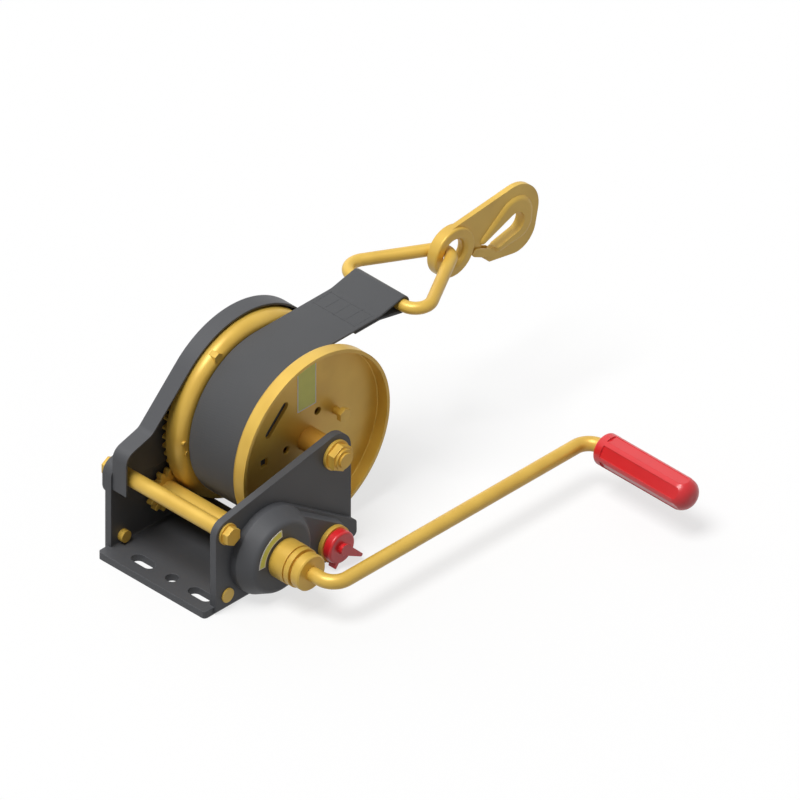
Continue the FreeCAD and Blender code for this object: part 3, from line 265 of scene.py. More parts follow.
@dataclass(frozen=True)
class Paint:
    """Satin paint on folded sheet: a fine orange peel, and along the edges a paler grey that is
    partly wear and partly a painted highlight.
    """

    name: str = "dark_paint"
    tone: Colour = linear(70, 71, 74)
    # Paler grey for the edges: partly wear, partly a painted highlight.
    worn_and_lit_edge: Colour = linear(98, 99, 103)
    roughness: float = 0.5
    peel: float = 0.9 * MM
    peel_depth: float = 0.035 * MM
    edge: float = 0.7 * MM
    edge_gain: float = 5.0
    cloud: float = 28 * MM
    cloud_tone: float = 1.08
    spot: float = 2.2 * MM
    least_wear_and_highlight: float = 0.35
    wear_and_highlight_share: float = 0.55

    def build(self) -> bpy.types.Material:
        """The paint as a material."""
        graph = FinishGraph(self.name)
        rounded = graph.soft_edges(self.edge)
        edges = graph.edge_mask(rounded, self.edge_gain)
        clouds = graph.noise(self.cloud, 3)
        spots = graph.noise(self.spot, 3)
        # Edge mask for the paler grey, blotched by spots: partly wear, partly a painted highlight
        # along the edges.
        wear_and_edge_highlight = (edges * (self.least_wear_and_highlight + (1 - self.least_wear_and_highlight) * spots)).clamped()
        colour = graph.blend(clouds, self.tone, scaled(self.tone, self.cloud_tone))
        colour = graph.blend(wear_and_edge_highlight * self.wear_and_highlight_share, colour, self.worn_and_lit_edge)
        normal = graph.bump(graph.noise(self.peel, 1.5), self.peel_depth, rounded)
        return graph.surface(base_color=colour, normal=normal,
                             roughness=self.roughness + 0.12 * clouds - 0.1 * wear_and_edge_highlight)


@dataclass(frozen=True)
class ZincPlate:
    """Yellow passivated zinc: a satin golden film with very faint clouds, and a painted highlight
    along its edges.
    """

    name: str = "yellow_zinc"
    bright: Colour = linear(234, 194, 88)
    tone: Colour = linear(226, 185, 80)
    shade: Colour = linear(216, 174, 72)
    metallic: float = 0.2
    roughness: float = 0.34
    edge: float = 0.45 * MM
    edge_gain: float = 4.0
    # How strongly the painted edge highlight shows.
    edge_share: float = 0.5
    cloud: float = 34 * MM
    grain: float = 0.8 * MM
    grain_depth: float = 0.02 * MM

    def build(self) -> bpy.types.Material:
        """The plating as a material."""
        graph = FinishGraph(self.name)
        rounded = graph.soft_edges(self.edge)
        edges = graph.edge_mask(rounded, self.edge_gain)
        clouds = graph.noise(self.cloud, 2)
        film = graph.ramp(clouds, [(0.3, self.shade), (0.5, self.tone), (0.72, self.bright)])
        grain = graph.noise(self.grain, 3)
        # Edges painted in the bright colour: a painted highlight along the edges.
        colour = graph.blend(edges * self.edge_share, film, self.bright)
        normal = graph.bump(grain, self.grain_depth, rounded)
        return graph.surface(base_color=colour, metallic=self.metallic,
                             roughness=self.roughness + 0.05 * clouds + 0.05 * grain,
                             normal=normal)


@dataclass(frozen=True)
class Plastic:
    """Glossy moulded plastic with a faint grain."""

    name: str = "red_plastic"
    tone: Colour = linear(226, 34, 42)
    roughness: float = 0.34
    edge: float = 0.5 * MM
    cloud: float = 20 * MM
    cloud_tone: float = 0.86
    grain: float = 0.6 * MM
    grain_depth: float = 0.012 * MM

    def build(self) -> bpy.types.Material:
        """The plastic as a material."""
        graph = FinishGraph(self.name)
        rounded = graph.soft_edges(self.edge)
        clouds = graph.noise(self.cloud, 2)
        grain = graph.noise(self.grain, 2)
        colour = graph.blend(clouds, self.tone, scaled(self.tone, self.cloud_tone))
        normal = graph.bump(grain, self.grain_depth, rounded)
        return graph.surface(base_color=colour, roughness=self.roughness + 0.08 * grain,
                             normal=normal, coat_weight=0.3, coat_roughness=0.2)


@dataclass(frozen=True)
class Weave:
    """Woven webbing, with painted shade in the low parts of the weave. The pattern lies on the
    piece's own UV map, in metres along and across.
    """

    name: str = "webbing_weave"
    tone: Colour = linear(85, 86, 88)
    # Colour of the painted shade in the weave's hollows.
    weave_hollow_shade: Colour = linear(65, 66, 68)
    rib: float = 2.1 * MM
    pick: float = 1.3 * MM
    fuzz: float = 0.5 * MM
    cloud: float = 30 * MM
    depth: float = 0.08 * MM

    def build(self) -> bpy.types.Material:
        """The weave as a material."""
        graph = FinishGraph(self.name)
        place = graph.wire(graph.add("ShaderNodeUVMap", {"uv_map": "UVMap"}))
        parts = graph.add("ShaderNodeSeparateXYZ", {}, {0: place})
        along, across = graph.wire(parts, "X"), graph.wire(parts, "Y")
        turn = 2 * math.pi
        side = (across * (turn / self.rib)).sine()
        slant = side.above(0.0) * math.pi
        ribs = 0.5 + 0.5 * (across * (2 * turn / self.rib)).sine()
        picks = 0.5 + 0.5 * (along * (turn / self.pick) + slant).sine()
        height = (0.55 * abs(side) + 0.45 * picks).clamped()
        fuzz = graph.noise(self.fuzz, 3)
        clouds = graph.noise(self.cloud, 3)
        # The weave's low parts are painted darker as shade; fuzz and clouds vary the tone at
        # random.
        shade = (height * 0.7 + 0.3 * fuzz) * (0.8 + 0.4 * clouds) + ribs * 0.05
        colour = graph.blend(shade.clamped(), self.weave_hollow_shade, self.tone)
        normal = graph.bump(height * 0.8 + fuzz * 0.2, self.depth)
        return graph.surface(base_color=colour, roughness=0.86 - 0.1 * fuzz, normal=normal,
                             sheen_weight=0.25, sheen_roughness=0.4)


@dataclass(frozen=True)
class Thread:
    """Twisted sewing thread."""

    name: str = "sewing_thread"
    tone: Colour = linear(92, 93, 95)
    fuzz: float = 0.4 * MM
    fuzz_tone: float = 0.8
    depth: float = 0.05 * MM

    def build(self) -> bpy.types.Material:
        """The thread as a material."""
        graph = FinishGraph(self.name)
        fuzz = graph.noise(self.fuzz, 3)
        colour = graph.blend(fuzz, scaled(self.tone, self.fuzz_tone), self.tone)
        return graph.surface(base_color=colour, roughness=0.8 + 0.1 * fuzz,
                             normal=graph.bump(fuzz, self.depth))


@dataclass(frozen=True)
class PrintedFoil:
    """Bare label foil in one plain colour."""

    name: str = "label_foil"
    tone: Colour = linear(226, 230, 120)
    roughness: float = 0.35
    cloud: float = 9 * MM
    grain: float = 0.7 * MM
    grain_depth: float = 0.01 * MM

    def build(self) -> bpy.types.Material:
        """The foil as a material."""
        graph = FinishGraph(self.name)
        clouds = graph.noise(self.cloud, 2)
        grain = graph.noise(self.grain, 2)
        paler = tuple(min(1.0, channel * 1.12 + 0.01) for channel in self.tone)
        return graph.surface(base_color=graph.blend(clouds, self.tone, paler),
                             roughness=self.roughness + 0.15 * grain,
                             normal=graph.bump(grain, self.grain_depth))


class Finish(Enum):
    """The finishes of the winch."""

    PAINT = Paint()
    ZINC = ZincPlate()
    SPACER = ZincPlate("spacer_zinc", linear(222, 168, 72), linear(212, 158, 64),
                       linear(200, 148, 56), roughness=0.4)
    PLASTIC = Plastic()
    WEAVE = Weave()
    THREAD = Thread()
    FOIL = PrintedFoil()
    FOIL_BORDER = PrintedFoil("label_border", linear(240, 240, 236), 0.4)


class Paintbox:
    """Makes each finish's material once and hands it out."""

    def __init__(self) -> None:
        """Starts empty."""
        self.made: dict[Finish, bpy.types.Material] = {}

    def get(self, finish: Finish) -> bpy.types.Material:
        """The material of a finish."""
        if finish not in self.made:
            self.made[finish] = finish.value.build()
        return self.made[finish]


PAINTBOX = Paintbox()


class Shape:
    """Collects faces for one mesh, in metres."""

    def __init__(self) -> None:
        """Starts empty."""
        self.mesh = bmesh.new()

    def ring(self, points: Iterable[Vector]) -> list[bmesh.types.BMVert]:
        """Adds a row of corners."""
        return [self.mesh.verts.new(point) for point in points]

    def skin(self, first: list[bmesh.types.BMVert],
             second: list[bmesh.types.BMVert]) -> None:
        """Joins two closed rows of corners by a band of faces."""
        count = len(first)
        for index in range(count):
            after = (index + 1) % count
            self.mesh.faces.new((first[index], first[after], second[after], second[index]))

    def cap(self, corners: list[bmesh.types.BMVert]) -> None:
        """Closes a row of corners by one face."""
        self.mesh.faces.new(corners)

    def loft(self, rings: list[list[Vector]]) -> None:
        """A closed body through a row of rings."""
        rows = [self.ring(points) for points in rings]
        for first, second in zip(rows, rows[1:]):
            self.skin(first, second)
        self.cap(rows[0])
        self.cap(rows[-1])

    def done(self, name: str, smooth_angle: float = 35.0) -> bpy.types.Object:
        """Turns the faces into an object at the origin.

        Args:
            name: The object's name.
            smooth_angle: Faces that meet at less than this angle, in degrees, shade as one.

        Returns:
            The object, linked to the scene.
        """
        bmesh.ops.recalc_face_normals(self.mesh, faces=self.mesh.faces)
        limit = math.radians(smooth_angle)
        for face in self.mesh.faces:
            face.smooth = True
        for edge in self.mesh.edges:
            if len(edge.link_faces) == 2 and edge.calc_face_angle(0.0) > limit:
                edge.smooth = False
        data = bpy.data.meshes.new(name)
        self.mesh.to_mesh(data)
        self.mesh.free()
        made = bpy.data.objects.new(name, data)
        bpy.context.scene.collection.objects.link(made)
        return made


def settle(source: bpy.types.Object) -> bpy.types.Object:
    """Turns an object with modifiers into one with a plain mesh of the same name.

    Args:
        source: The object. It is removed.

    Returns:
        The plain object, with its faces pointing outwards.
    """
    depsgraph = bpy.context.evaluated_depsgraph_get()
    data = bpy.data.meshes.new_from_object(source.evaluated_get(depsgraph), depsgraph=depsgraph)
    name = source.name
    bpy.data.objects.remove(source)
    work = bmesh.new()
    work.from_mesh(data)
    bmesh.ops.remove_doubles(work, verts=work.verts, dist=MERGE)
    bmesh.ops.recalc_face_normals(work, faces=work.faces)
    work.to_mesh(data)
    work.free()
    data.name = name
    made = bpy.data.objects.new(name, data)
    bpy.context.scene.collection.objects.link(made)
    return made


def paint(piece: bpy.types.Object, finish: Finish) -> bpy.types.Object:
    """Gives a piece one finish all over."""
    material = PAINTBOX.get(finish)
    if piece.data.materials:
        for index in range(len(piece.data.materials)):
            piece.data.materials[index] = material
    else:
        piece.data.materials.append(material)
    return piece


def dress(finish: Finish, *nodes: str) -> None:
    """Gives CAD nodes a finish."""
    for name in nodes:
        paint(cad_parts[name], finish)
        LOG.info("dressed %s with %s", name, finish.value.name)


def place(piece: bpy.types.Object, body: str, slot: str, finish: Optional[Finish] = None) -> None:
    """Finishes a piece and lets it ride on a body.

    Args:
        piece: The piece, at the origin.
        body: The body that it moves with.
        slot: The name of a material slot. Not used.
        finish: The finish, unless the piece has one.
    """
    if finish is not None:
        paint(piece, finish)
    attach(piece, body)
    LOG.info("made %s on %s, %d faces", piece.name, body, len(piece.data.polygons))


class GeometryGraph(Graph):
    """A Geometry Nodes tree with named inputs for its sizes."""

    def __init__(self, name: str, inputs: dict[str, str]) -> None:
        """Starts a tree.

        Args:
            name: The tree's name.
            inputs: Socket type by input name, after the geometry itself.
        """
        super().__init__(bpy.data.node_groups.new(name, "GeometryNodeTree"))
        interface = self.tree.interface
        interface.new_socket("Geometry", in_out="INPUT", socket_type="NodeSocketGeometry")
        self.sockets = {label: interface.new_socket(label, in_out="INPUT", socket_type=kind)
                        for label, kind in inputs.items()}
        interface.new_socket("Geometry", in_out="OUTPUT", socket_type="NodeSocketGeometry")
        self.entry = self.add("NodeGroupInput")

    def given(self, label: str) -> Wire:
        """The wire of a named input."""
        return self.wire(self.entry, label)

    def end(self, geometry: Wire) -> None:
        """Realizes the instances, sets the material and closes the tree."""
        real = self.wire(self.add("GeometryNodeRealizeInstances", {}, {"Geometry": geometry}))
        covered = self.wire(self.add("GeometryNodeSetMaterial", {}, {
            "Geometry": real, "Material": self.given("Material")}))
        self.add("NodeGroupOutput", {}, {"Geometry": covered})

    def apply(self, target: bpy.types.Object, values: dict[str, Any]) -> bpy.types.Object:
        """Runs the tree on an object and keeps the result as a plain mesh.

        Args:
            target: The object with the lines that the tree follows.
            values: The value of each named input.

        Returns:
            The plain object.
        """
        modifier = target.modifiers.new(self.tree.name, "NODES")
        modifier.node_group = self.tree
        for label, value in values.items():
            modifier[self.sockets[label].identifier] = value
        return settle(target)


def lines(name: str, rows: list[list[Vector]]) -> bpy.types.Object:
    """An object of plain lines through rows of points."""
    data = bpy.data.meshes.new(name)
    points = [tuple(point) for row in rows for point in row]
    edges = []
    start = 0
    for row in rows:
        edges += [(start + index, start + index + 1) for index in range(len(row) - 1)]
        start += len(row)
    data.from_pydata(points, edges, [])
    made = bpy.data.objects.new(name, data)
    bpy.context.scene.collection.objects.link(made)
    return made


@dataclass
class Route:
    """A line in a plane across X that runs tangent past a row of wheels (y, z, radius).

    It turns left round a wheel of positive radius and right round one of negative radius. The
    first and the last wheel are plain points.
    """

    wheels: list[tuple[float, float, float]]
    step: float = math.radians(5)

    def points(self, x: float) -> list[Vector]:
        """The points of the line.

        Args:
            x: Where the plane is.

        Returns:
            The points, with the arcs divided by the step.
        """
        headings = []
        for (y0, z0, r0), (y1, z1, r1) in zip(self.wheels, self.wheels[1:]):
            span = math.hypot(y1 - y0, z1 - z0)
            headings.append(math.atan2(z1 - z0, y1 - y0) + math.asin((r0 - r1) / span))
        found = [Vector((x, self.wheels[0][0], self.wheels[0][1]))]
        for (y, z, radius), come, leave in zip(self.wheels[1:-1], headings, headings[1:]):
            turn = (leave - come) % (2 * math.pi)
            if radius < 0 and turn > 0:
                turn -= 2 * math.pi
            count = max(2, math.ceil(abs(turn) / self.step))
            for index in range(count + 1):
                heading = come + turn * index / count
                found.append(Vector((x, y + radius * math.sin(heading),
                                     z - radius * math.cos(heading))))
        found.append(Vector((x, self.wheels[-1][0], self.wheels[-1][1])))
        return found


@dataclass
class Strap:
    """The webbing: the roll on the drum, the outermost turn with the run, and the sewn loop."""

    axle: Vector
    width: float = 50 * MM
    thick: float = 2.0 * MM
    middle: float = -7.25 * MM
    roll_round: float = 67.5 * MM
    core_round: float = 31.05 * MM
    gap: float = 0.3 * MM
    layer_play: float = 0.1 * MM
    layers: int = 17
    layer_fill: float = 0.95
    layer_steps: int = 60
    turn_end: float = math.radians(74)
    sewn_start: float = 170 * MM
    split: float = 193 * MM
    bar: float = 218 * MM
    bar_round: float = 4.8 * MM
    edge_share: float = 0.42
    bend_share: float = 8
    rows: tuple[float, ...] = (-21.0 * MM, -10.5 * MM, 0.0, 10.5 * MM, 21.0 * MM)
    row_margin: float = 2.5 * MM
    stitch_pitch: float = 3.1 * MM
    stitch_long: float = 2.5 * MM
    stitch_rise: float = 1.2
    thread: float = 0.16 * MM
    tree: GeometryGraph = field(init=False)

    def __post_init__(self) -> None:
        """Builds the tree that every stretch of webbing comes from."""
        self.tree = self.webbing_tree()

    @property
    def run_height(self) -> float:
        """The height of the run's middle."""
        return self.axle.z + self.roll_round - self.thick / 2

    @property
    def second_height(self) -> float:
        """The height of the middle of the second, sewn layer."""
        return self.run_height - self.thick - self.layer_play

    def webbing_tree(self) -> GeometryGraph:
        """The tree that turns a line into webbing, with a UV map in metres."""
        graph = GeometryGraph("webbing_along_line", {
            "Width": "NodeSocketFloat", "Thickness": "NodeSocketFloat",
            "Edge": "NodeSocketFloat", "Material": "NodeSocketMaterial"})
        line = graph.wire(graph.add("GeometryNodeMeshToCurve", {}, {
            "Mesh": graph.given("Geometry")}))
        length = graph.wire(graph.add("GeometryNodeSplineParameter"), "Length")
        spine = graph.add("GeometryNodeCaptureAttribute", {"captures": [("FLOAT", "Along")]},
                          {"Geometry": line, "Along": length})
        sheet = graph.wire(graph.add("GeometryNodeCurvePrimitiveQuadrilateral", {}, {
            "Width": graph.given("Width"), "Height": graph.given("Thickness")}))
        rounded = graph.wire(graph.add("GeometryNodeFilletCurve", {"mode": "POLY"}, {
            "Curve": sheet, "Radius": graph.given("Edge"), "Count": 4}))
        profile = graph.add("GeometryNodeCaptureAttribute", {"captures": [("FLOAT", "Across")]},
                            {"Geometry": rounded, "Across": length})
        swept = graph.wire(graph.add("GeometryNodeCurveToMesh", {}, {
            "Curve": graph.wire(spine, "Geometry"),
            "Profile Curve": graph.wire(profile, "Geometry"), "Fill Caps": True}))
        place_on = graph.wire(graph.add("ShaderNodeCombineXYZ", {}, {
            "X": graph.wire(spine, "Along"), "Y": graph.wire(profile, "Across")}))
        mapped = graph.wire(graph.add("GeometryNodeStoreNamedAttribute",
                                      {"data_type": "FLOAT2", "domain": "CORNER"},
                                      {"Geometry": swept, "Name": "UVMap", "Value": place_on}))
        smooth = graph.wire(graph.add("GeometryNodeSetShadeSmooth", {}, {"Geometry": mapped}))
        graph.end(smooth)
        return graph

    def webbing(self, name: str, line: list[Vector], thick: float) -> bpy.types.Object:
        """A stretch of webbing along a line.

        Args:
            name: The piece's name.
            line: The points of its middle.
            thick: Its thickness.

        Returns:
            The piece, with the weave on it.
        """
        return self.tree.apply(lines(name, [line]), {
            "Width": self.width, "Thickness": thick, "Edge": thick * self.edge_share,
            "Material": PAINTBOX.get(Finish.WEAVE)})

    def run(self) -> bpy.types.Object:
        """The outermost turn, the free run and the loop round the ring's bar, in one stretch."""
        turn = self.roll_round - self.thick / 2
        gentle = self.thick * self.bend_share
        out = Vector((0, math.cos(self.turn_end), math.sin(self.turn_end)))
        aside = Vector((0, -out.z, out.y))
        tail = self.axle + out * turn + aside * self.thick
        loop = self.bar_round + self.gap + self.thick / 2
        bar_height = (self.run_height + self.second_height) / 2
        route = Route([
            (tail.y, tail.z, 0.0),
            (self.axle.y, self.axle.z, -turn),
            (self.split, self.run_height + gentle, gentle),
            (self.bar, bar_height, -loop),
            (self.split, self.second_height - gentle, gentle),
            (self.sewn_start, self.second_height, 0.0)])
        return self.webbing("strap_run", route.points(self.middle), self.thick)

    def roll(self) -> bpy.types.Object:
        """The turns on the drum, as one spiral."""
        outer = self.roll_round - self.thick - self.gap
        pitch = (outer - self.core_round) / self.layers
        line = []
        for index in range(self.layers * self.layer_steps - self.layer_steps // 2):
            angle = 2 * math.pi * index / self.layer_steps
            radius = self.core_round + pitch * (0.5 + index / self.layer_steps)
            radius = min(radius, outer - pitch / 2)
            line.append(Vector((self.middle, self.axle.y + radius * math.cos(angle),
                                self.axle.z + radius * math.sin(angle))))
        return self.webbing("strap_roll", line, pitch * self.layer_fill)

    def stitch_tree(self) -> GeometryGraph:
        """The tree that sews stitches along lines."""
        graph = GeometryGraph("stitches_along_lines", {
            "Pitch": "NodeSocketFloat", "Stitch": "NodeSocketFloat",
            "Thread": "NodeSocketFloat", "Material": "NodeSocketMaterial"})
        line = graph.wire(graph.add("GeometryNodeMeshToCurve", {}, {
            "Mesh": graph.given("Geometry")}))
        spots = graph.wire(graph.add("GeometryNodeResampleCurve", {"mode": "LENGTH"}, {
            "Curve": line, "Length": graph.given("Pitch")}))
        half = graph.given("Stitch") * 0.5
        start = graph.wire(graph.add("ShaderNodeCombineXYZ", {}, {"X": half * -1.0}))
        end = graph.wire(graph.add("ShaderNodeCombineXYZ", {}, {"X": half}))
        middle = graph.wire(graph.add("ShaderNodeCombineXYZ", {}, {
            "Z": graph.given("Thread") * self.stitch_rise}))
        arch = graph.wire(graph.add("GeometryNodeCurveQuadraticBezier", {}, {
            "Resolution": 5, "Start": start, "Middle": middle, "End": end}))
        circle = graph.wire(graph.add("GeometryNodeCurvePrimitiveCircle", {}, {
            "Resolution": 6, "Radius": graph.given("Thread")}))
        stitch = graph.wire(graph.add("GeometryNodeCurveToMesh", {}, {
            "Curve": arch, "Profile Curve": circle, "Fill Caps": True}))
        tangent = graph.wire(graph.add("GeometryNodeInputTangent"))
        turned = graph.wire(graph.add("FunctionNodeAlignRotationToVector", {"axis": "X"}, {
            "Vector": tangent}))
        sewn = graph.wire(graph.add("GeometryNodeInstanceOnPoints", {}, {
            "Points": spots, "Instance": stitch, "Rotation": turned}))
        graph.end(sewn)
        return graph

    def stitches(self) -> bpy.types.Object:
        """The rows of stitches through the two layers, on both faces."""
        first, last = self.sewn_start + self.row_margin, self.split - self.row_margin
        upper = self.run_height + self.thick / 2
        lower = self.second_height - self.thick / 2
        rows = []
        for height in (upper, lower):
            for offset in self.rows:
                x = self.middle + offset
                rows.append([Vector((x, first, height)), Vector((x, last, height))])
            for y in (first, last):
                rows.append([Vector((self.middle + self.rows[0], y, height)),
                             Vector((self.middle + self.rows[-1], y, height))])
        return self.stitch_tree().apply(lines("strap_stitches", rows), {
            "Pitch": self.stitch_pitch, "Stitch": self.stitch_long, "Thread": self.thread,
            "Material": PAINTBOX.get(Finish.THREAD)})

    def build(self) -> None:
        """Makes the webbing and its stitches."""
        run = self.run()
        place(run, "frame", "webbing")
        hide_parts("webbing_run")
        roll = self.roll()
        place(roll, "drum", "webbing")
        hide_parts("webbing_roll")
        place(self.stitches(), "frame", "webbing")


@dataclass
class RimFasteners:
    """The bolt and the two rivets on the rounded rim of the drum's left flange."""

    axle: Vector
    bolt_face: float = -33.2 * MM
    bolt_round: float = 4.4 * MM
    bolt_high: float = 6.5 * MM
    bolt_sides: int = 6
    bolt_spot: tuple[float, float] = (-35.8 * MM, 61.2 * MM)
    rivet_face: float = -32.8 * MM
    rivet_round: float = 1.9 * MM
    rivet_high: float = 4.0 * MM
    rivet_sides: int = 28
    rivet_spots: tuple[tuple[float, float], ...] = ((-70.6 * MM, 2.9 * MM),
                                                    (-67.8 * MM, -6.6 * MM))

    def head_tree(self) -> GeometryGraph:
        """The tree that sets a head along X on each point."""
        graph = GeometryGraph("heads_on_points", {
            "Sides": "NodeSocketInt", "Radius": "NodeSocketFloat", "Height": "NodeSocketFloat",
            "Material": "NodeSocketMaterial"})
        blank = graph.wire(graph.add("GeometryNodeMeshCylinder", {}, {
            "Vertices": graph.given("Sides"), "Radius": graph.given("Radius"),
            "Depth": graph.given("Height")}), "Mesh")
        head = graph.wire(graph.add("GeometryNodeTransform", {}, {
            "Geometry": blank, "Rotation": (0.0, math.pi / 2, 0.0)}))
        graph.end(graph.wire(graph.add("GeometryNodeInstanceOnPoints", {}, {
            "Points": graph.given("Geometry"), "Instance": head})))
        return graph

    def heads(self, name: str, spots: Iterable[tuple[float, float]], sides: int, radius: float,
              height: float, face: float) -> bpy.types.Object:
        """A row of heads.

        Args:
            name: The piece's name.
            spots: Where they are from the axle, along Y and Z.
            sides: 6 for a hexagon, more for a round head.
            radius: Their radius, to the corners.
            height: How far they reach back from their face.
            face: Where their outer face is along X.

        Returns:
            The piece.
        """
        points = [Vector((face - height / 2, self.axle.y + y, self.axle.z + z)) for y, z in spots]
        return self.head_tree().apply(lines(name, [[point] for point in points]), {
            "Sides": sides, "Radius": radius, "Height": height,
            "Material": PAINTBOX.get(Finish.ZINC)})

    def build(self) -> None:
        """Makes the bolt's head and the rivets' heads."""
        bolt = self.heads("rim_bolt", [self.bolt_spot], self.bolt_sides, self.bolt_round,
                          self.bolt_high, self.bolt_face)
        rivets = self.heads("rim_rivets", self.rivet_spots, self.rivet_sides, self.rivet_round,
                            self.rivet_high, self.rivet_face)
        for piece in (bolt, rivets):
            place(piece, "drum", "zinc_plated_steel")


@dataclass
class Labels:
    """The bare foils on the drum's flange and on the brake housing."""

    axle: Vector
    drive: Vector
    web_face: float
    housing_face: float
    thick: float = 0.2 * MM
    border: float = 0.9 * MM
    field_lift: float = 1.3
    flange_y: tuple[float, float] = (-10 * MM, 9 * MM)
    flange_z: tuple[float, float] = (27 * MM, 69 * MM)
    housing_rounds: tuple[float, float] = (18.8 * MM, 25.2 * MM)
    housing_angles: tuple[float, float] = (math.radians(94), math.radians(178))
    housing_steps: int = 24

    def slab(self, name: str, outline: list[Vector], lift: float) -> bpy.types.Object:
        """A thin plate over an outline that faces +X.

        Args:
            name: The piece's name.
            outline: Its corners on the face.
            lift: How far it stands out.

        Returns:
            The piece.
        """
        shape = Shape()
        shape.loft([outline, [point + Vector((lift, 0, 0)) for point in outline]])
        return shape.done(name)

    def flange_outline(self, inset: float) -> list[Vector]:
        """The corners of the foil on the flange."""
        left, right = self.flange_y[0] + inset, self.flange_y[1] - inset
        low, high = self.flange_z[0] + inset, self.flange_z[1] - inset
        return [self.axle + Vector((0, y, z)) for y, z in
                ((left, low), (right, low), (right, high), (left, high))]

    def housing_outline(self, inset: float) -> list[Vector]:
        """The corners of the curved foil round the crank."""
        inner, outer = self.housing_rounds[0] + inset, self.housing_rounds[1] - inset
        slip = inset / outer
        first, last = self.housing_angles[0] + slip, self.housing_angles[1] - slip
        angles = [first + (last - first) * index / self.housing_steps
                  for index in range(self.housing_steps + 1)]
        row = [(outer, angle) for angle in angles] + [(inner, angle) for angle in angles[::-1]]
        return [self.drive + Vector((0, radius * math.cos(angle), radius * math.sin(angle)))
                for radius, angle in row]

    def build(self) -> None:
        """Makes both foils, each with a pale border."""
        for name, body, face, outline in (
                ("flange_foil", "drum", self.web_face, self.flange_outline),
                ("housing_foil", "frame", self.housing_face, self.housing_outline)):
            for part, inset, lift, finish in (
                    ("border", 0.0, self.thick, Finish.FOIL_BORDER),
                    ("field", self.border, self.thick * self.field_lift, Finish.FOIL)):
                points = [Vector((face, point.y, point.z)) for point in outline(inset)]
                place(self.slab(f"{name}_{part}", points, lift), body, "painted_steel", finish)


@dataclass(frozen=True)
class Sun:
    """A broad, soft light: its breadth in degrees, and the direction from the object to it."""

    name: str
    strength: float
    breadth: float
    towards: tuple[float, float, float]

    def build(self) -> None:
        """Makes the light."""
        data = bpy.data.lights.new(self.name, "SUN")
        data.energy = self.strength
        data.angle = math.radians(self.breadth)
        lamp = bpy.data.objects.new(self.name, data)
        lamp.rotation_mode = "QUATERNION"
        lamp.rotation_quaternion = Vector(self.towards).to_track_quat("Z", "Y")
        bpy.context.scene.collection.objects.link(lamp)


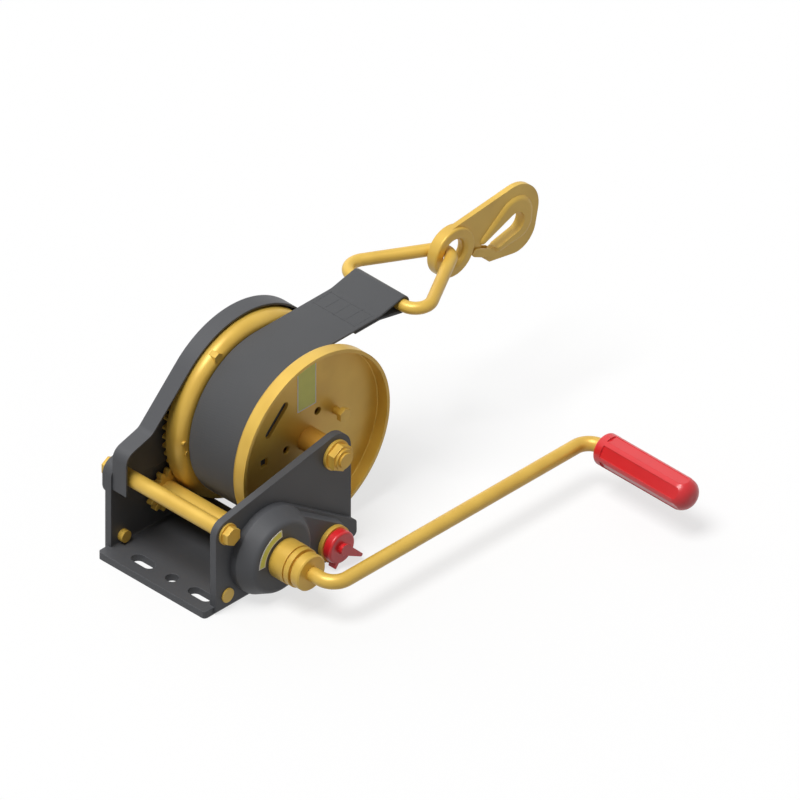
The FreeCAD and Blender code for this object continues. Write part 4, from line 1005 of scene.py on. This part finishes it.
@dataclass
class Studio:
    """Floor, light and camera."""

    centre: Vector = field(default_factory=lambda: Vector((33.1, 199.8, 80.0)) * MM)
    span: float = 578 * MM
    azimuth: float = math.radians(45)
    elevation: float = math.radians(35.264)
    distance: float = 2.0
    sky_strength: float = 0.17
    suns: tuple[Sun, ...] = (Sun("key_light", 2.7, 30, (-0.05, -0.5, 1.3)),
                             Sun("side_light", 0.45, 60, (-0.9, 0.2, 0.5)))
    floor_reach: float = 12.0
    floor_drop: float = 0.05 * MM
    floor_glow: float = 0.7
    floor_white: Colour = (0.95, 0.95, 0.95)
    floor_grey: Colour = (0.22, 0.22, 0.22)
    floor_roughness: float = 0.9

    def floor(self) -> None:
        """A plain pale floor."""
        shape = Shape()
        shape.cap(shape.ring([Vector((x * self.floor_reach, y * self.floor_reach,
                                      -self.floor_drop))
                              for x, y in ((-1, -1), (1, -1), (1, 1), (-1, 1))]))
        floor = shape.done("floor")
        floor.data.materials.append(self.floor_finish())

    @staticmethod
    def seen(graph: Graph) -> Wire:
        """One for rays that show or mirror the background, nought for those that light."""
        path = graph.add("ShaderNodeLightPath")
        return (graph.wire(path, "Is Camera Ray") + graph.wire(path, "Is Glossy Ray")
                + graph.wire(path, "Is Transmission Ray")).clamped()

    def floor_finish(self) -> bpy.types.Material:
        """White where it is seen or mirrored, with a soft shadow, and grey for the soft light."""
        graph = FinishGraph("pale_floor")
        white = graph.principled(base_color=self.floor_white, roughness=self.floor_roughness)
        glow = graph.wire(graph.add("ShaderNodeEmission", {}, {"Strength": 1.0}))
        pale = graph.wire(graph.add("ShaderNodeMixShader", {}, {
            0: self.floor_glow, 1: white, 2: glow}))
        grey = graph.principled(base_color=self.floor_grey, roughness=self.floor_roughness)
        return graph.end(graph.wire(graph.add("ShaderNodeMixShader", {}, {
            0: self.seen(graph), 1: grey, 2: pale})))

    def sky(self) -> None:
        """Plain light from all round, white where it is seen or mirrored."""
        world = bpy.data.worlds.new("studio_light")
        world.use_nodes = True
        bpy.context.scene.world = world
        graph = Graph(world.node_tree)
        world.node_tree.nodes.clear()
        light = graph.add("ShaderNodeBackground", {}, {
            "Color": (1.0, 1.0, 1.0, 1.0),
            "Strength": self.sky_strength + self.seen(graph) * (1 - self.sky_strength)})
        graph.add("ShaderNodeOutputWorld", {}, {"Surface": graph.wire(light)})

    def camera(self) -> None:
        """The camera, at the picture's viewing angle and without perspective."""
        data = bpy.data.cameras.new("camera")
        data.type = "ORTHO"
        data.ortho_scale = self.span
        camera = bpy.data.objects.new("camera", data)
        back = Vector((math.sin(self.azimuth) * math.cos(self.elevation),
                       -math.cos(self.azimuth) * math.cos(self.elevation),
                       math.sin(self.elevation)))
        camera.location = self.centre + back * self.distance
        camera.rotation_mode = "QUATERNION"
        camera.rotation_quaternion = (-back).to_track_quat("-Z", "Y")
        bpy.context.scene.collection.objects.link(camera)
        bpy.context.scene.camera = camera

    def build(self) -> None:
        """Makes the studio."""
        bpy.context.scene.view_settings.view_transform = "Standard"
        self.camera()
        self.floor()
        self.sky()
        for sun in self.suns:
            sun.build()


def node_middle(name: str) -> Vector:
    """The middle of a CAD node's box."""
    low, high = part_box(name)
    return (low + high) / 2


def dress_nodes() -> None:
    """Gives every CAD node its finish."""
    dress(Finish.PAINT, "channel_frame", "left_plate", "gear_guard", "brake_housing")
    dress(Finish.ZINC, "front_spacer", "front_tie_bolt", "front_tie_nut", "front_tie_washer",
          "lower_bolt_left", "lower_bolt_right", "axle_bolt", "axle_washer", "axle_nut",
          "knob_bush", "right_flange", "left_flange", "drum_barrel", "drum_hub", "drum_gear",
          "strap_clamp_bolt", "drive_shaft", "pinion", "crank_hub", "crank_arm", "pull_ring",
          "snap_hook", "gate_pin", "hook_gate")
    dress(Finish.SPACER, "axle_spacer")
    dress(Finish.PLASTIC, "hand_grip", "selector_knob")
    dress(Finish.WEAVE, "webbing_run", "webbing_roll")


def main() -> None:
    """Builds the looks in order."""
    logging.basicConfig(level=logging.INFO, format="%(message)s")
    axle = node_middle("axle_washer")
    drive = node_middle("crank_hub")
    web_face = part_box("drum_barrel")[1].x + WEB_PAST_BARREL
    housing_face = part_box("brake_housing")[1].x
    Studio().build()
    dress_nodes()
    Strap(Vector((0, axle.y, axle.z))).build()
    RimFasteners(axle).build()
    Labels(axle, drive, web_face, housing_face).build()


if __name__ == "__main__":
    main()
